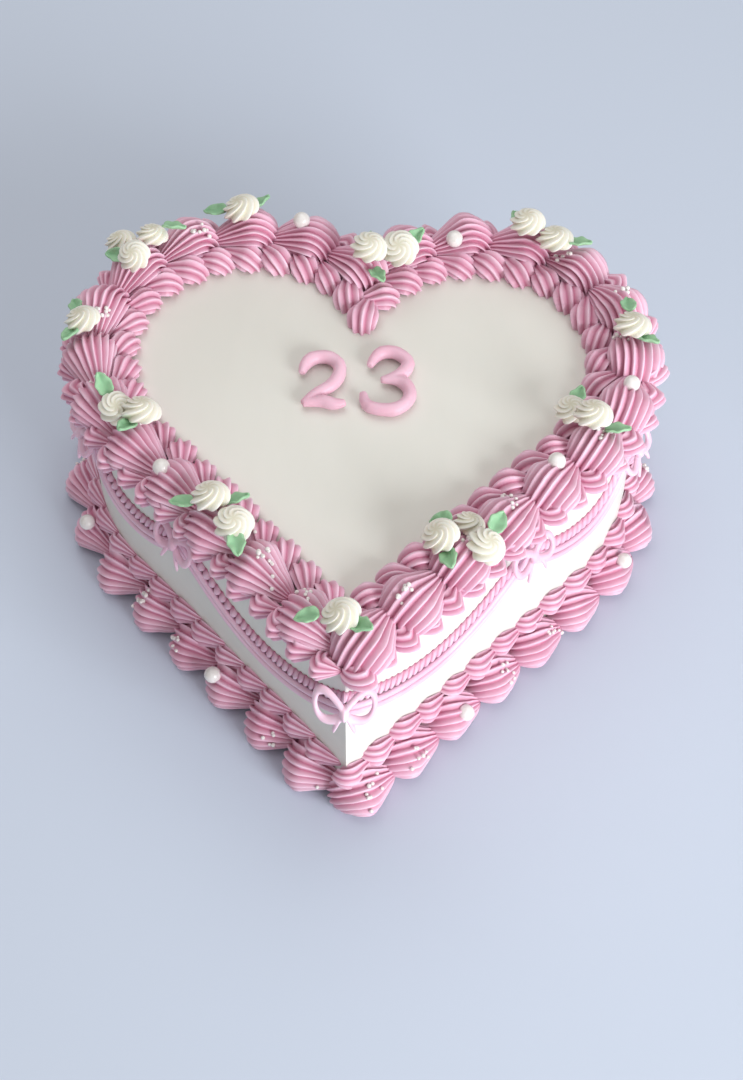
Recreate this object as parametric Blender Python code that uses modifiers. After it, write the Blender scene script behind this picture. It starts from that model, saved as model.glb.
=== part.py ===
"""Heart shaped cake, iced white, with piped shell borders, a garland, bows, rosettes and a number.

The heart's own frame has the wall's front corner (the tip) at x = y = 0, the back cleft at +Y and the
cake's underside at z = 0. Once everything is made, the parent empty moves it all so that the middle of
the outer box stands on the world's origin.
"""

import math
import random

import bmesh
import bpy
import numpy as np
from mathutils import Matrix, Vector
from mathutils.bvhtree import BVHTree

MM = 0.001
GAP = 0.3 * MM

# The white iced heart
TIP_HALF_ANGLE = math.radians(43.0)
STRAIGHT = 130.0 * MM
SHOULDER_RADIUS = 78.0 * MM
LOBE_RADIUS = 64.5 * MM
CAKE_HEIGHT = 86.0 * MM
EDGE_ROUND = 1.6 * MM

# The big shells on the top edge, drawn counter-clockwise seen from above
TOP_SHELLS = 26
FIRST_TAIL = 20.6 * MM
TIP_STEP = 29.4 * MM
TOP_LINE = -6.0 * MM
TOP_SWERVE = math.radians(-17.0)
TOP_LEAN = math.radians(12.0)
SINK = 0.8 * MM
# A shell's sections: turned up from its foot in degrees, then as shares of its tail
SHELL_TURNS = (0.0, 50.0, 90.0)
SHELL_TAPER = (0.5,)
BORDER_KEPT = 0.41

# The small shells inside them and the drops under them, both as chains of (share of a step, size)
INNER_SHELLS = 48
INNER_LINE = -17.0 * MM
INNER_LEAN = math.radians(-12.0)
DROPS = 52
DROP_HEIGHT = 85.5 * MM
DROP_LEAN = math.radians(72.0)
CHAIN_RIDGES = 2
CHAIN_DEPTH = 0.16
CHAIN_PROFILE = ((0.0, 0.62), (0.4, 1.0))

# The base border
BASE_SHELLS = 29
BASE_LINE = 7.5 * MM
BASE_LEAN = math.radians(42.0)
BASE_SWERVE = math.radians(16.0)
WALL_SHELLS = 48
WALL_SHELL_HEIGHT = 16.5 * MM
WALL_LEAN = math.radians(80.0)

# The garland on the wall: a ruffled band over two strings, in eight uneven drapes with a bow at each
# joint. The joints of the right half are distances along the wall from the tip, in millimetres
HALF_JOINTS = (0.0, 95.5, 158.0, 249.0)
WIDEST_DRAPE = 95.5 * MM
DRAPE_TOP = 75.0 * MM
DRAPE_SAG = 22.0 * MM
GARLAND_STATIONS = 74
# Its profile as (reach from the wall, drop from the top edge), in millimetres
GARLAND_PROFILE = (
    (0.3, 0.0), (2.0, -0.3), (3.0, 3.0), (1.8, 5.7), (3.4, 7.4), (2.0, 9.2), (3.4, 10.9), (0.3, 12.5),
)
RUFFLE_POINTS = (1, 2)
RUFFLE_WAVE = 0.6 * MM
BOW_HEIGHT = 71.5 * MM
BOW_OUT = 4.4 * MM
BOW_REACH = 13.5 * MM
TIP_BOW_REACH = 16.5 * MM
BOW_LOOP_HIGH = 0.39
BOW_LOOP_POINTS = 7
BOW_ROPE = 1.35 * MM
BOW_TAIL = 8.0 * MM
BOW_KEPT = 0.6

# Rosettes: rings of (height, width, turn in degrees), the height and width as shares
ROSE_RADIUS = 7.4 * MM
ROSE_HEIGHT = 8.0 * MM
ROSE_LOBES = 5
ROSE_PROFILE = ((0.0, 0.74, 0.0), (0.34, 1.0, 22.0), (0.74, 0.66, 50.0))
LEAF_LENGTH = 9.5 * MM
LEAF_WIDTH = 6.2 * MM
LEAF_THICK = 0.9 * MM
LEAF_START = 0.4 * MM
LEAF_RAISE = 1.2 * MM
TOPPING_GAP = 0.7 * MM
MOST_TILT = math.radians(24.0)

# Clusters: rosettes as (x, y) in millimetres with a size, leaves as (rosette, bearing in degrees, size)
CLUSTERS = (
    {"roses": ((-0.5, 14.9, 1.0),), "leaves": ((0, 184.0, 0.95), (0, -29.0, 1.0))},
    {"roses": ((32.5, 51.2, 0.98), (47.1, 47.9, 0.98), (41.8, 60.9, 0.8)),
     "leaves": ((0, 88.0, 0.9), (1, 66.0, 1.0), (0, -66.0, 1.0))},
    {"roses": ((88.7, 106.0, 1.0), (80.0, 116.4, 0.84)), "leaves": ((1, 66.0, 0.9), (0, -10.0, 1.0))},
    {"roses": ((103.9, 152.5, 1.0),), "leaves": ((0, 95.0, 0.9), (0, -50.0, 1.0))},
    {"roses": ((62.9, 205.5, 0.95), (76.1, 198.5, 1.0)), "leaves": ((0, 110.0, 0.9), (1, -14.0, 1.0))},
    {"roses": ((-1.2, 189.2, 1.0), (14.4, 193.9, 1.0)),
     "leaves": ((0, 86.0, 0.9), (1, 47.0, 0.9), (0, -62.0, 0.9))},
    {"roses": ((-50.4, 210.4, 1.0),), "leaves": ((0, 167.0, 1.0), (0, 26.0, 0.9))},
    {"roses": ((-91.3, 183.2, 0.88), (-99.7, 196.5, 0.88), (-86.7, 196.7, 0.88)),
     "leaves": ((0, 148.0, 0.85), (2, -14.0, 1.0))},
    {"roses": ((-108.7, 150.0, 0.98),), "leaves": ((0, -108.0, 0.9), (0, 110.0, 0.8))},
    {"roses": ((-82.1, 102.6, 1.02), (-94.1, 110.0, 0.88)), "leaves": ((1, 122.0, 0.95), (0, -117.0, 1.0))},
    {"roses": ((-52.7, 64.7, 1.0), (-42.7, 53.9, 1.0)),
     "leaves": ((0, 178.0, 0.95), (0, 8.0, 0.95), (1, -77.0, 1.0))},
)

# Pearls as (distance along the wall from the tip, reach past the wall) in millimetres
PEARL_RADIUS = 3.4 * MM
SMALL_PEARL_RADIUS = 1.9 * MM
TOP_PEARLS = ((-307, -2), (294, -9), (169, -3), (117, -7), (-109, -3))
TOP_SMALL_PEARLS = ((-47, -5), (-24, -9), (30, -5), (91, -8), (218, 0), (-165, -4))
BASE_PEARLS = ((-158, 9), (-74, 10), (61, 11), (149, 10), (245, 10), (-235, 10))
BASE_SMALL_PEARLS = ((-190, 8), (-118, 9), (-40, 10), (14, 10), (110, 9), (196, 9), (300, 9), (-290, 9))

# The piped number, each digit in two strokes of (x, y) in millimetres
DIGIT_ROPE = 2.7 * MM
TWO = (
    ((-23.2, 136.6), (-22.6, 143.0), (-14.5, 146.6), (-7.6, 141.6), (-9.6, 131.8), (-17.0, 127.0),
     (-22.3, 121.5)),
    ((-22.3, 121.5), (-15.1, 123.8), (-9.6, 121.2), (-5.6, 122.6)),
)
THREE = (
    ((3.0, 141.4), (4.8, 147.8), (12.6, 149.8), (19.6, 143.6), (14.6, 136.0), (7.6, 134.6)),
    ((7.8, 134.8), (15.6, 135.8), (20.4, 128.6), (16.6, 120.8), (9.0, 119.2), (1.2, 121.6), (1.0, 127.8)),
)

PINK = (0.83, 0.42, 0.58, 1.0)
WHITE = (0.86, 0.85, 0.81, 1.0)
IVORY = (0.88, 0.86, 0.74, 1.0)
GREEN = (0.36, 0.66, 0.37, 1.0)


def clear_scene():
    """Remove whatever the open file holds."""
    for old in list(bpy.data.objects):
        bpy.data.objects.remove(old, do_unlink=True)


def new_collection(name):
    """Return a new collection linked to the scene."""
    collection = bpy.data.collections.new(name)
    bpy.context.scene.collection.children.link(collection)
    return collection


def icing(name, colour, roughness):
    """Return a plain Principled material."""
    material = bpy.data.materials.new(name)
    material.use_nodes = True
    shader = material.node_tree.nodes["Principled BSDF"]
    shader.inputs["Base Color"].default_value = colour
    shader.inputs["Roughness"].default_value = roughness
    shader.inputs["Metallic"].default_value = 0.0
    return material


def add_object(name, mesh, collection, material=None):
    """Link a mesh as a named object and give it its material."""
    thing = bpy.data.objects.new(name, mesh)
    collection.objects.link(thing)
    if material is not None:
        mesh.materials.clear()
        mesh.materials.append(material)
    return thing


def hide_as_cutter(thing):
    """Show a cutter as wire and keep it out of renders."""
    thing.display_type = "WIRE"
    thing.hide_render = True


class HeartWall:
    """The wall's outline, walked counter-clockwise from the tip by its own arc length."""

    def __init__(self):
        turn = TIP_HALF_ANGLE
        start = Vector((math.sin(turn), math.cos(turn))) * STRAIGHT
        inward = Vector((-math.cos(turn), math.sin(turn)))
        self.tangent_end = start
        self.shoulder_centre = start + inward * SHOULDER_RADIUS
        self.lobe_centre = self.shoulder_centre + Vector((SHOULDER_RADIUS - LOBE_RADIUS, 0.0))
        self.shoulder_arc = SHOULDER_RADIUS * turn
        self.lobe_turn = self.cleft_angle(0.0)
        self.half = STRAIGHT + self.shoulder_arc + LOBE_RADIUS * self.lobe_turn
        self.total = 2.0 * self.half

    def cleft_angle(self, offset):
        """Return how far the lobe's arc turns before it meets the other lobe."""
        return math.acos(-self.lobe_centre.x / (LOBE_RADIUS + offset))

    def half_place(self, along, offset):
        """Return the point and heading on the right half, offset outwards."""
        turn = TIP_HALF_ANGLE
        outward = Vector((math.cos(turn), -math.sin(turn)))
        if along < STRAIGHT:
            tip = Vector((0.0, -offset / math.sin(turn)))
            end = self.tangent_end + outward * offset
            return tip.lerp(end, along / STRAIGHT), math.pi / 2 - turn
        if along < STRAIGHT + self.shoulder_arc:
            angle = (along - STRAIGHT) / SHOULDER_RADIUS - turn
            centre, radius = self.shoulder_centre, SHOULDER_RADIUS
        else:
            share = (along - STRAIGHT - self.shoulder_arc) / (self.half - STRAIGHT - self.shoulder_arc)
            angle = share * self.cleft_angle(offset)
            centre, radius = self.lobe_centre, LOBE_RADIUS
        out = Vector((math.cos(angle), math.sin(angle)))
        return centre + out * (radius + offset), angle + math.pi / 2

    def place(self, along, offset):
        """Return the point and heading anywhere on the wall, offset outwards."""
        along %= self.total
        if along <= self.half:
            return self.half_place(along, offset)
        point, heading = self.half_place(self.total - along, offset)
        return Vector((-point.x, point.y)), -heading

    def even_steps(self, count, offset, start):
        """Return positions that are equally far apart on the offset line."""
        samples = np.linspace(0.0, self.total, 1361)
        points = np.array([self.place(float(s), offset)[0] for s in samples])
        run = np.concatenate([[0.0], np.cumsum(np.linalg.norm(np.diff(points, axis=0), axis=1))])
        wanted = (np.arange(count) / count * run[-1] + start) % run[-1]
        return [float(s) for s in np.interp(wanted, run, samples)]

    def outline(self, offset, arc_step):
        """Return the closed outline as points, with the round stretches split evenly."""
        stops = [0.0, STRAIGHT]
        rest = STRAIGHT + self.shoulder_arc
        for start, end in ((STRAIGHT, rest), (rest, self.half)):
            pieces = max(2, round((end - start) / arc_step))
            stops += [start + (end - start) * (i + 1) / pieces for i in range(pieces)]
        right = [self.place(s, offset)[0] for s in stops]
        left = [Vector((-p.x, p.y)) for p in reversed(right[1:-1])]
        return right + left


WALL = HeartWall()


def heart_prism(name, offset, low, high, collection, bevel=0.0):
    """Return an object: the heart's outline pulled up from low to high, its top edge rounded."""
    shape = bmesh.new()
    ring = [shape.verts.new((p.x, p.y, low)) for p in WALL.outline(offset, 11.0 * MM)]
    floor = shape.faces.new(ring)
    pulled = bmesh.ops.extrude_face_region(shape, geom=[floor], use_keep_orig=True)
    moved = [g for g in pulled["geom"] if isinstance(g, bmesh.types.BMVert)]
    bmesh.ops.translate(shape, verts=moved, vec=(0.0, 0.0, high - low))
    bmesh.ops.recalc_face_normals(shape, faces=shape.faces)
    if bevel > 0.0:
        rim = [e for e in shape.edges if all(v.co.z > high - GAP for v in e.verts)]
        bmesh.ops.bevel(shape, geom=rim, offset=bevel, segments=2, profile=0.5, affect="EDGES")
    mesh = bpy.data.meshes.new(name)
    shape.to_mesh(mesh)
    shape.free()
    return add_object(name, mesh, collection)


def loft(name, rings, tail_point=None, looped=False):
    """Return a mesh through rings of points, its ends closed by a face or a point, or looped round."""
    shape = bmesh.new()
    rows = [[shape.verts.new(p) for p in ring] for ring in rings]
    pairs = list(zip(rows, rows[1:]))
    if looped:
        pairs.append((rows[-1], rows[0]))
    for row, following in pairs:
        for i in range(len(row)):
            j = (i + 1) % len(row)
            shape.faces.new((row[i], row[j], following[j], following[i]))
    if not looped:
        shape.faces.new(list(reversed(rows[0])))
        if tail_point is None:
            shape.faces.new(rows[-1])
        else:
            end = shape.verts.new(tail_point)
            for i in range(len(rows[-1])):
                shape.faces.new((rows[-1][i], rows[-1][(i + 1) % len(rows[-1])], end))
    bmesh.ops.recalc_face_normals(shape, faces=shape.faces)
    mesh = bpy.data.meshes.new(name)
    shape.to_mesh(mesh)
    shape.free()
    return mesh


def ridged_section(ridges, depth):
    """Return (across, up) pairs of a D-shaped section with ridges, half width and height 1."""
    spread = math.radians(102.0)
    low = math.cos(spread)
    section = []
    for i in range(2 * ridges + 1):
        angle = spread * (i / ridges - 1.0)
        reach = 1.0 - depth if i % 2 else 1.0
        across = math.sin(angle) * reach
        up = (math.cos(angle) - low) / (1.0 - low)
        section.append((across, 0.3 + (up - 0.3) * reach))
    return section


class Shell:
    """A shell piped through a star tip: its ridges fan from under the head, over it and down to the tail."""

    def __init__(self, half_width, height, reach, tail, ridges, depth=0.16):
        self.half_width = half_width
        self.height = height
        self.reach = reach
        self.tail = tail
        self.ridges = ridges
        self.depth = depth

    def rings(self):
        """Return the shell's sections, +X along the way it is drawn and +Z off its seat."""
        section = ridged_section(self.ridges, self.depth)
        hub = 0.04 * self.height
        rings = []
        for degrees in SHELL_TURNS:
            turn = math.radians(degrees)
            out = (-math.cos(turn) * self.reach, math.sin(turn) * self.height)
            wide = self.half_width * (0.86 + 0.14 * math.sin(turn))
            lift = hub / self.height
            rings.append([(out[0] * (up + lift), side * wide, out[1] * (up + lift)) for side, up in section])
        for share in SHELL_TAPER:
            size = (1.0 - share) ** 0.8
            wide = self.half_width * size
            tall = self.height * size
            rings.append([(self.tail * share, across * wide, up * tall) for across, up in section])
        return rings

    def mesh(self, name):
        """Return the shell's closed mesh."""
        return loft(name, self.rings(), tail_point=(self.tail, 0.0, 0.1 * self.height))


def seat(point, height, heading, up, size=1.0, swerve=0.0):
    """Return the matrix that puts a piped shape at a place: X along its heading, Z along up."""
    along = Vector((math.cos(heading), math.sin(heading), 0.0))
    up = up.normalized()
    along = (along - up * along.dot(up)).normalized()
    along = Matrix.Rotation(swerve, 3, up) @ along
    side = up.cross(along)
    turn = Matrix((along, side, up)).transposed().to_4x4()
    return Matrix.Translation((point.x, point.y, height)) @ turn @ Matrix.Scale(size, 4)


def outward_of(heading):
    """Return the level direction that points away from the cake."""
    return Vector((math.sin(heading), -math.cos(heading), 0.0))


def fuse(name, pieces, cutters, collection, material, kept=1.0):
    """Join overlapping pieces by one union, thin out the slivers, then trim the body with the cutters."""
    heap = new_collection(name + "_pieces")
    first = add_object(name, pieces[0], collection)
    for i, mesh in enumerate(pieces[1:]):
        add_object(f"{name}_piece_{i}", mesh, heap)
    joined = first.modifiers.new("joined", "BOOLEAN")
    joined.operation = "UNION"
    joined.operand_type = "COLLECTION"
    joined.collection = heap
    joined.solver = "MANIFOLD"
    mesh = shape_of(first)
    mesh.name = name
    for old in [first, *heap.objects]:
        bpy.data.objects.remove(old, do_unlink=True)
    bpy.data.collections.remove(heap)
    keep_outer_body(mesh)
    body = thinned(add_object(name, mesh, collection, material), kept)
    for cutter in cutters:
        trim = body.modifiers.new("trim", "BOOLEAN")
        trim.operation = "DIFFERENCE"
        trim.object = cutter
        trim.solver = "MANIFOLD"
    mesh = shape_of(body)
    body.modifiers.clear()
    keep_outer_body(mesh)
    body.data = mesh
    return body


def shape_of(thing):
    """Return a new mesh of the object as its modifiers leave it."""
    return bpy.data.meshes.new_from_object(thing.evaluated_get(bpy.context.evaluated_depsgraph_get()))


def thinned(thing, kept):
    """Return the object with only a share of its triangles, taken where it is flattest."""
    thin = thing.modifiers.new("thin_out", "DECIMATE")
    thin.ratio = kept
    thin.use_collapse_triangulate = True
    mesh = shape_of(thing)
    thing.modifiers.clear()
    thing.data = mesh
    return thing


def keep_outer_body(mesh):
    """Drop sealed hollows and loose scraps, and close up any edge where the body touches itself."""
    shape = bmesh.new()
    shape.from_mesh(mesh)
    unseen = set(shape.verts)
    bodies = []
    while unseen:
        stack = [unseen.pop()]
        body = set(stack)
        while stack:
            for edge in stack.pop().link_edges:
                for vert in edge.verts:
                    if vert not in body:
                        body.add(vert)
                        unseen.discard(vert)
                        stack.append(vert)
        bodies.append(body)
    widest = max(bodies, key=lambda body: max(v.co.x for v in body) - min(v.co.x for v in body))
    for body in bodies:
        if body is not widest:
            bmesh.ops.delete(shape, geom=list(body), context="VERTS")
    bmesh.ops.triangulate(shape, faces=shape.faces)
    shared = [e for e in shape.edges if len(e.link_faces) > 2]
    bmesh.ops.collapse(shape, edges=shared)
    bmesh.ops.delete(shape, geom=[e for e in shape.edges if not e.link_faces], context="EDGES")
    shape.to_mesh(mesh)
    shape.free()


def placed(mesh, matrix):
    """Return a moved copy of a mesh."""
    copy = mesh.copy()
    copy.transform(matrix)
    return copy


def top_shell_places():
    """Return the tails' positions: even steps, with two wider ones round the tip."""
    step = (WALL.total - 2.0 * TIP_STEP) / (TOP_SHELLS - 2)
    forward = [FIRST_TAIL + step * i for i in range(TOP_SHELLS - 1)]
    return forward + [FIRST_TAIL - TIP_STEP]


def upright(heading, lean):
    """Return the direction that leans from straight up towards the outside."""
    return outward_of(heading) * math.sin(lean) + Vector((0.0, 0.0, math.cos(lean)))


def shell_chain(name, count, offset, height, lean, largest, draw):
    """Return a closed band of small joined shells, each swelling to the largest half width and height."""
    section = ridged_section(CHAIN_RIDGES, CHAIN_DEPTH)
    stops = WALL.even_steps(count, offset, 0.0) + [WALL.total]
    rings = []
    for along, following in zip(stops, stops[1:]):
        whim = draw.uniform(0.93, 1.05)
        for share, size in CHAIN_PROFILE:
            point, heading = WALL.place(along + (following - along) * share, offset)
            up = upright(heading, lean)
            side = up.cross(Vector((math.cos(heading), math.sin(heading), 0.0)))
            base = Vector((point.x, point.y, height))
            wide = largest[0] * size * whim
            high = largest[1] * size * whim
            rings.append([base + side * (across * wide) + up * (rise * high) for across, rise in section])
    return loft(name, rings, looped=True)


def tree_of(meshes):
    """Return a search tree over several meshes."""
    verts, faces = [], []
    for mesh in meshes:
        first = len(verts)
        verts += [v.co.copy() for v in mesh.vertices]
        faces += [[first + i for i in face.vertices] for face in mesh.polygons]
    return BVHTree.FromPolygons(verts, faces)


def beads(tree, places, radius, above, rows):
    """Return balls that lie on the border, sunk a third into the icing under them."""
    shape = bmesh.new()
    bmesh.ops.create_uvsphere(shape, u_segments=rows + 2, v_segments=rows, radius=radius)
    ball = bpy.data.meshes.new("ball")
    shape.to_mesh(ball)
    shape.free()
    balls = []
    for along, offset in places:
        hit = None
        while hit is None:
            point, _ = WALL.place(along * MM, offset * MM)
            hit = tree.ray_cast(Vector((point.x, point.y, above)), Vector((0.0, 0.0, -1.0)))[0]
            offset -= 1.0
        balls.append(placed(ball, Matrix.Translation(hit + Vector((0.0, 0.0, radius * 0.35)))))
    return balls


def top_border_pieces(draw):
    """Return the meshes of the top border: big shells, small inner shells, drops and pearls."""
    big = Shell(12.2 * MM, 15.8 * MM, 13.0 * MM, 19.0 * MM, ridges=5).mesh("big_shell")
    pieces = []
    for tail in top_shell_places():
        point, heading = WALL.place(tail - 12.0 * MM, TOP_LINE)
        size = draw.uniform(0.96, 1.04)
        swerve = TOP_SWERVE + draw.uniform(-0.07, 0.07)
        matrix = seat(point, CAKE_HEIGHT - SINK, heading, upright(heading, TOP_LEAN), size, swerve)
        pieces.append(placed(big, matrix))
    inner_base = CAKE_HEIGHT - SINK
    size = (7.0 * MM, 10.0 * MM)
    pieces.append(shell_chain("inner_shells", INNER_SHELLS, INNER_LINE, inner_base, INNER_LEAN, size, draw))
    size = (6.2 * MM, 13.0 * MM)
    pieces.append(shell_chain("drops", DROPS, -SINK, DROP_HEIGHT, DROP_LEAN, size, draw))
    tree = tree_of(pieces)
    pieces += beads(tree, TOP_PEARLS, PEARL_RADIUS, 2.0 * CAKE_HEIGHT, 4)
    pieces += beads(tree, TOP_SMALL_PEARLS, SMALL_PEARL_RADIUS, 2.0 * CAKE_HEIGHT, 3)
    return pieces


def base_border_pieces(draw):
    """Return the meshes of the base border: big shells at the foot, small ones on the wall, pearls."""
    big = Shell(11.5 * MM, 13.5 * MM, 13.0 * MM, 20.0 * MM, ridges=4).mesh("base_shell")
    pieces = []
    for along in WALL.even_steps(BASE_SHELLS, BASE_LINE, 6.0 * MM):
        point, heading = WALL.place(along, BASE_LINE - 4.5 * MM)
        size = draw.uniform(0.95, 1.05)
        swerve = BASE_SWERVE + draw.uniform(-0.08, 0.08)
        matrix = seat(point, 3.5 * MM, heading, upright(heading, BASE_LEAN), size, swerve)
        pieces.append(placed(big, matrix))
    size = (6.5 * MM, 7.5 * MM)
    pieces.append(shell_chain("wall_shells", WALL_SHELLS, -SINK, WALL_SHELL_HEIGHT, WALL_LEAN, size, draw))
    tree = tree_of(pieces)
    pieces += beads(tree, BASE_PEARLS, PEARL_RADIUS, 0.5 * CAKE_HEIGHT, 4)
    pieces += beads(tree, BASE_SMALL_PEARLS, SMALL_PEARL_RADIUS, 0.5 * CAKE_HEIGHT, 3)
    return pieces


def joints():
    """Return where the garland is pinned up, as distances along the wall from the tip."""
    right = [place * MM for place in HALF_JOINTS]
    return right + [WALL.half] + [WALL.total - place for place in reversed(right[1:])]


def drape_height(along):
    """Return the height of the garland's top edge: between two joints it hangs like a chain."""
    stops = joints() + [WALL.total]
    start, end = next((a, b) for a, b in zip(stops, stops[1:]) if along <= b)
    share = (along - start) / (end - start)
    sag = DRAPE_SAG * math.sqrt((end - start) / WIDEST_DRAPE)
    return DRAPE_TOP - sag * (1.0 - (2.0 * share - 1.0) ** 2)


def garland():
    """Return the closed band round the wall: a wavy ruffle over two strings."""
    rings = []
    for i in range(GARLAND_STATIONS):
        along = WALL.total * i / GARLAND_STATIONS
        wave = RUFFLE_WAVE * (1.0 if i % 2 else -1.0)
        ring = []
        for k, (out, drop) in enumerate(GARLAND_PROFILE):
            reach = out * MM + (wave if k in RUFFLE_POINTS else 0.0)
            point, _ = WALL.place(along, reach)
            ring.append((point.x, point.y, drape_height(along) - drop * MM))
        rings.append(ring)
    return loft("garland", rings, looped=True)


def tube(name, points, radius, sides_extra, closed=False, smooth=0):
    """Return the mesh of a round rope of icing through the points."""
    curve = bpy.data.curves.new(name, "CURVE")
    curve.dimensions = "3D"
    curve.bevel_depth = radius
    curve.bevel_resolution = sides_extra
    curve.use_fill_caps = True
    curve.resolution_u = smooth
    spline = curve.splines.new("NURBS" if smooth else "POLY")
    spline.points.add(len(points) - 1)
    for target, point in zip(spline.points, points):
        target.co = (*point, 1.0)
    spline.use_cyclic_u = closed
    if smooth:
        spline.order_u = 3
        spline.use_endpoint_u = not closed
    holder = bpy.data.objects.new(name, curve)
    bpy.context.scene.collection.objects.link(holder)
    mesh = bpy.data.meshes.new_from_object(holder.evaluated_get(bpy.context.evaluated_depsgraph_get()))
    bpy.data.objects.remove(holder, do_unlink=True)
    shape = bmesh.new()
    shape.from_mesh(mesh)
    bmesh.ops.remove_doubles(shape, verts=shape.verts, dist=0.001 * MM)
    bmesh.ops.recalc_face_normals(shape, faces=shape.faces)
    shape.to_mesh(mesh)
    shape.free()
    return mesh


def digit_pieces(strokes):
    """Return the ropes of a digit, each stroke a list of (x, y) places in millimetres."""
    level = CAKE_HEIGHT + GAP + DIGIT_ROPE
    pieces = []
    for k, stroke in enumerate(strokes):
        points = [(x * MM, y * MM, level - 0.25 * MM * k) for x, y in stroke]
        pieces.append(tube("stroke", points, DIGIT_ROPE - 0.25 * MM * k, 1, smooth=2))
    return pieces


def bow_pieces(reach):
    """Return a bow in its own frame, +X along the wall, +Y up the wall and +Z away from it."""
    pieces = []
    for side in (-1.0, 1.0):
        loop = []
        for i in range(BOW_LOOP_POINTS):
            turn = math.tau * i / BOW_LOOP_POINTS
            across = side * reach * (0.5 - 0.5 * math.cos(turn))
            rise = BOW_LOOP_HIGH * math.sin(turn) * (0.45 * reach + 0.55 * abs(across))
            loop.append((across, rise + 0.1 * abs(across), BOW_ROPE))
        pieces.append(tube("loop", loop, BOW_ROPE, 0, closed=True))
        tail = [(side * 0.6 * MM, 0.0, BOW_ROPE), (side * 5.0 * MM, -BOW_TAIL, 0.8 * BOW_ROPE)]
        pieces.append(tube("tail", tail, 0.85 * BOW_ROPE, 0))
    shape = bmesh.new()
    bmesh.ops.create_uvsphere(shape, u_segments=7, v_segments=4, radius=1.5 * BOW_ROPE)
    bmesh.ops.translate(shape, verts=shape.verts, vec=(0.0, 0.0, 1.1 * BOW_ROPE))
    knot = bpy.data.meshes.new("knot")
    shape.to_mesh(knot)
    shape.free()
    return pieces + [knot]


def wrap_on_wall(mesh, middle):
    """Lay a bow's mesh on the wall: its X runs along the wall and its Z stands off it."""
    for vert in mesh.vertices:
        point, _ = WALL.place(middle + vert.co.x, BOW_OUT + vert.co.z)
        vert.co = (point.x, point.y, BOW_HEIGHT + vert.co.y)


def rose_mesh(name, radius):
    """Return a swirled rosette: star rings that turn as they rise to the middle."""
    tall = ROSE_HEIGHT * radius / ROSE_RADIUS
    rings = []
    for high, wide, turn in ROSE_PROFILE:
        ring = []
        for i in range(2 * ROSE_LOBES):
            angle = math.tau * i / (2 * ROSE_LOBES) + math.radians(turn)
            reach = radius * wide * (0.86 if i % 2 else 1.0)
            ring.append((reach * math.cos(angle), reach * math.sin(angle), high * tall))
        rings.append(ring)
    return loft(name, rings, tail_point=(0.0, 0.0, tall))


def leaf_mesh(name, length):
    """Return a thin wavy leaf along +X: a creased sheet given its thickness."""
    half = 0.5 * LEAF_WIDTH * length / LEAF_LENGTH
    shape = bmesh.new()
    heel = shape.verts.new((0.0, 0.0, 0.2 * MM))
    near_rib = shape.verts.new((0.35 * length, 0.0, -0.5 * MM))
    far_rib = shape.verts.new((0.7 * length, 0.0, -0.1 * MM))
    tip = shape.verts.new((length, 0.0, 1.3 * MM))
    for side in (-1.0, 1.0):
        near = shape.verts.new((0.38 * length, side * half, 0.7 * MM))
        far = shape.verts.new((0.72 * length, side * 0.72 * half, 0.4 * MM - 0.5 * MM * side))
        fan = [(heel, near_rib, near), (near, near_rib, far_rib), (near, far_rib, far), (far, far_rib, tip)]
        for corners in fan:
            shape.faces.new(corners if side < 0.0 else tuple(reversed(corners)))
    bmesh.ops.recalc_face_normals(shape, faces=shape.faces)
    mesh = bpy.data.meshes.new(name)
    shape.to_mesh(mesh)
    shape.free()
    return mesh


def settle(tree, corners, centre, reach, normal=None):
    """Return the slope, unless it is given, and the place at which a topping clears what is under it."""
    down = Vector((0.0, 0.0, -1.0))
    high = 2.0 * CAKE_HEIGHT
    hits = []
    for ring in range(1, 6):
        for i in range(8 * ring):
            angle = math.tau * i / (8 * ring)
            spot = centre + Vector((math.cos(angle), math.sin(angle))) * (reach * ring / 5.0)
            hit = tree.ray_cast(Vector((spot.x, spot.y, high)), down)[0]
            if hit is not None:
                hits.append(hit)
    near = [p for p in hits if p.z > max(h.z for h in hits) - 7.0 * MM]
    table = np.array([[p.x - centre.x, p.y - centre.y, 1.0] for p in near])
    slope = np.linalg.lstsq(table, np.array([p.z for p in near]), rcond=None)[0]
    if normal is None:
        normal = Vector((-slope[0], -slope[1], 1.0)).normalized()
        tilt = normal.angle(Vector((0.0, 0.0, 1.0)))
        if tilt > MOST_TILT:
            normal = Vector((0.0, 0.0, 1.0)).slerp(normal, MOST_TILT / tilt)
    origin = Vector((centre.x, centre.y, slope[2]))
    lift = -1.0
    for point in hits + corners:
        step = point - origin
        rise = step.dot(normal)
        if (step - normal * rise).length <= reach and rise < 12.0 * MM:
            lift = max(lift, rise)
    return normal, origin + normal * (lift + TOPPING_GAP)


def facing(normal, along, origin):
    """Return the matrix with Z along the normal and X nearest to a direction."""
    along = (along - normal * along.dot(normal)).normalized()
    turn = Matrix((along, normal.cross(along), normal)).transposed().to_4x4()
    return Matrix.Translation(origin) @ turn


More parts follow.
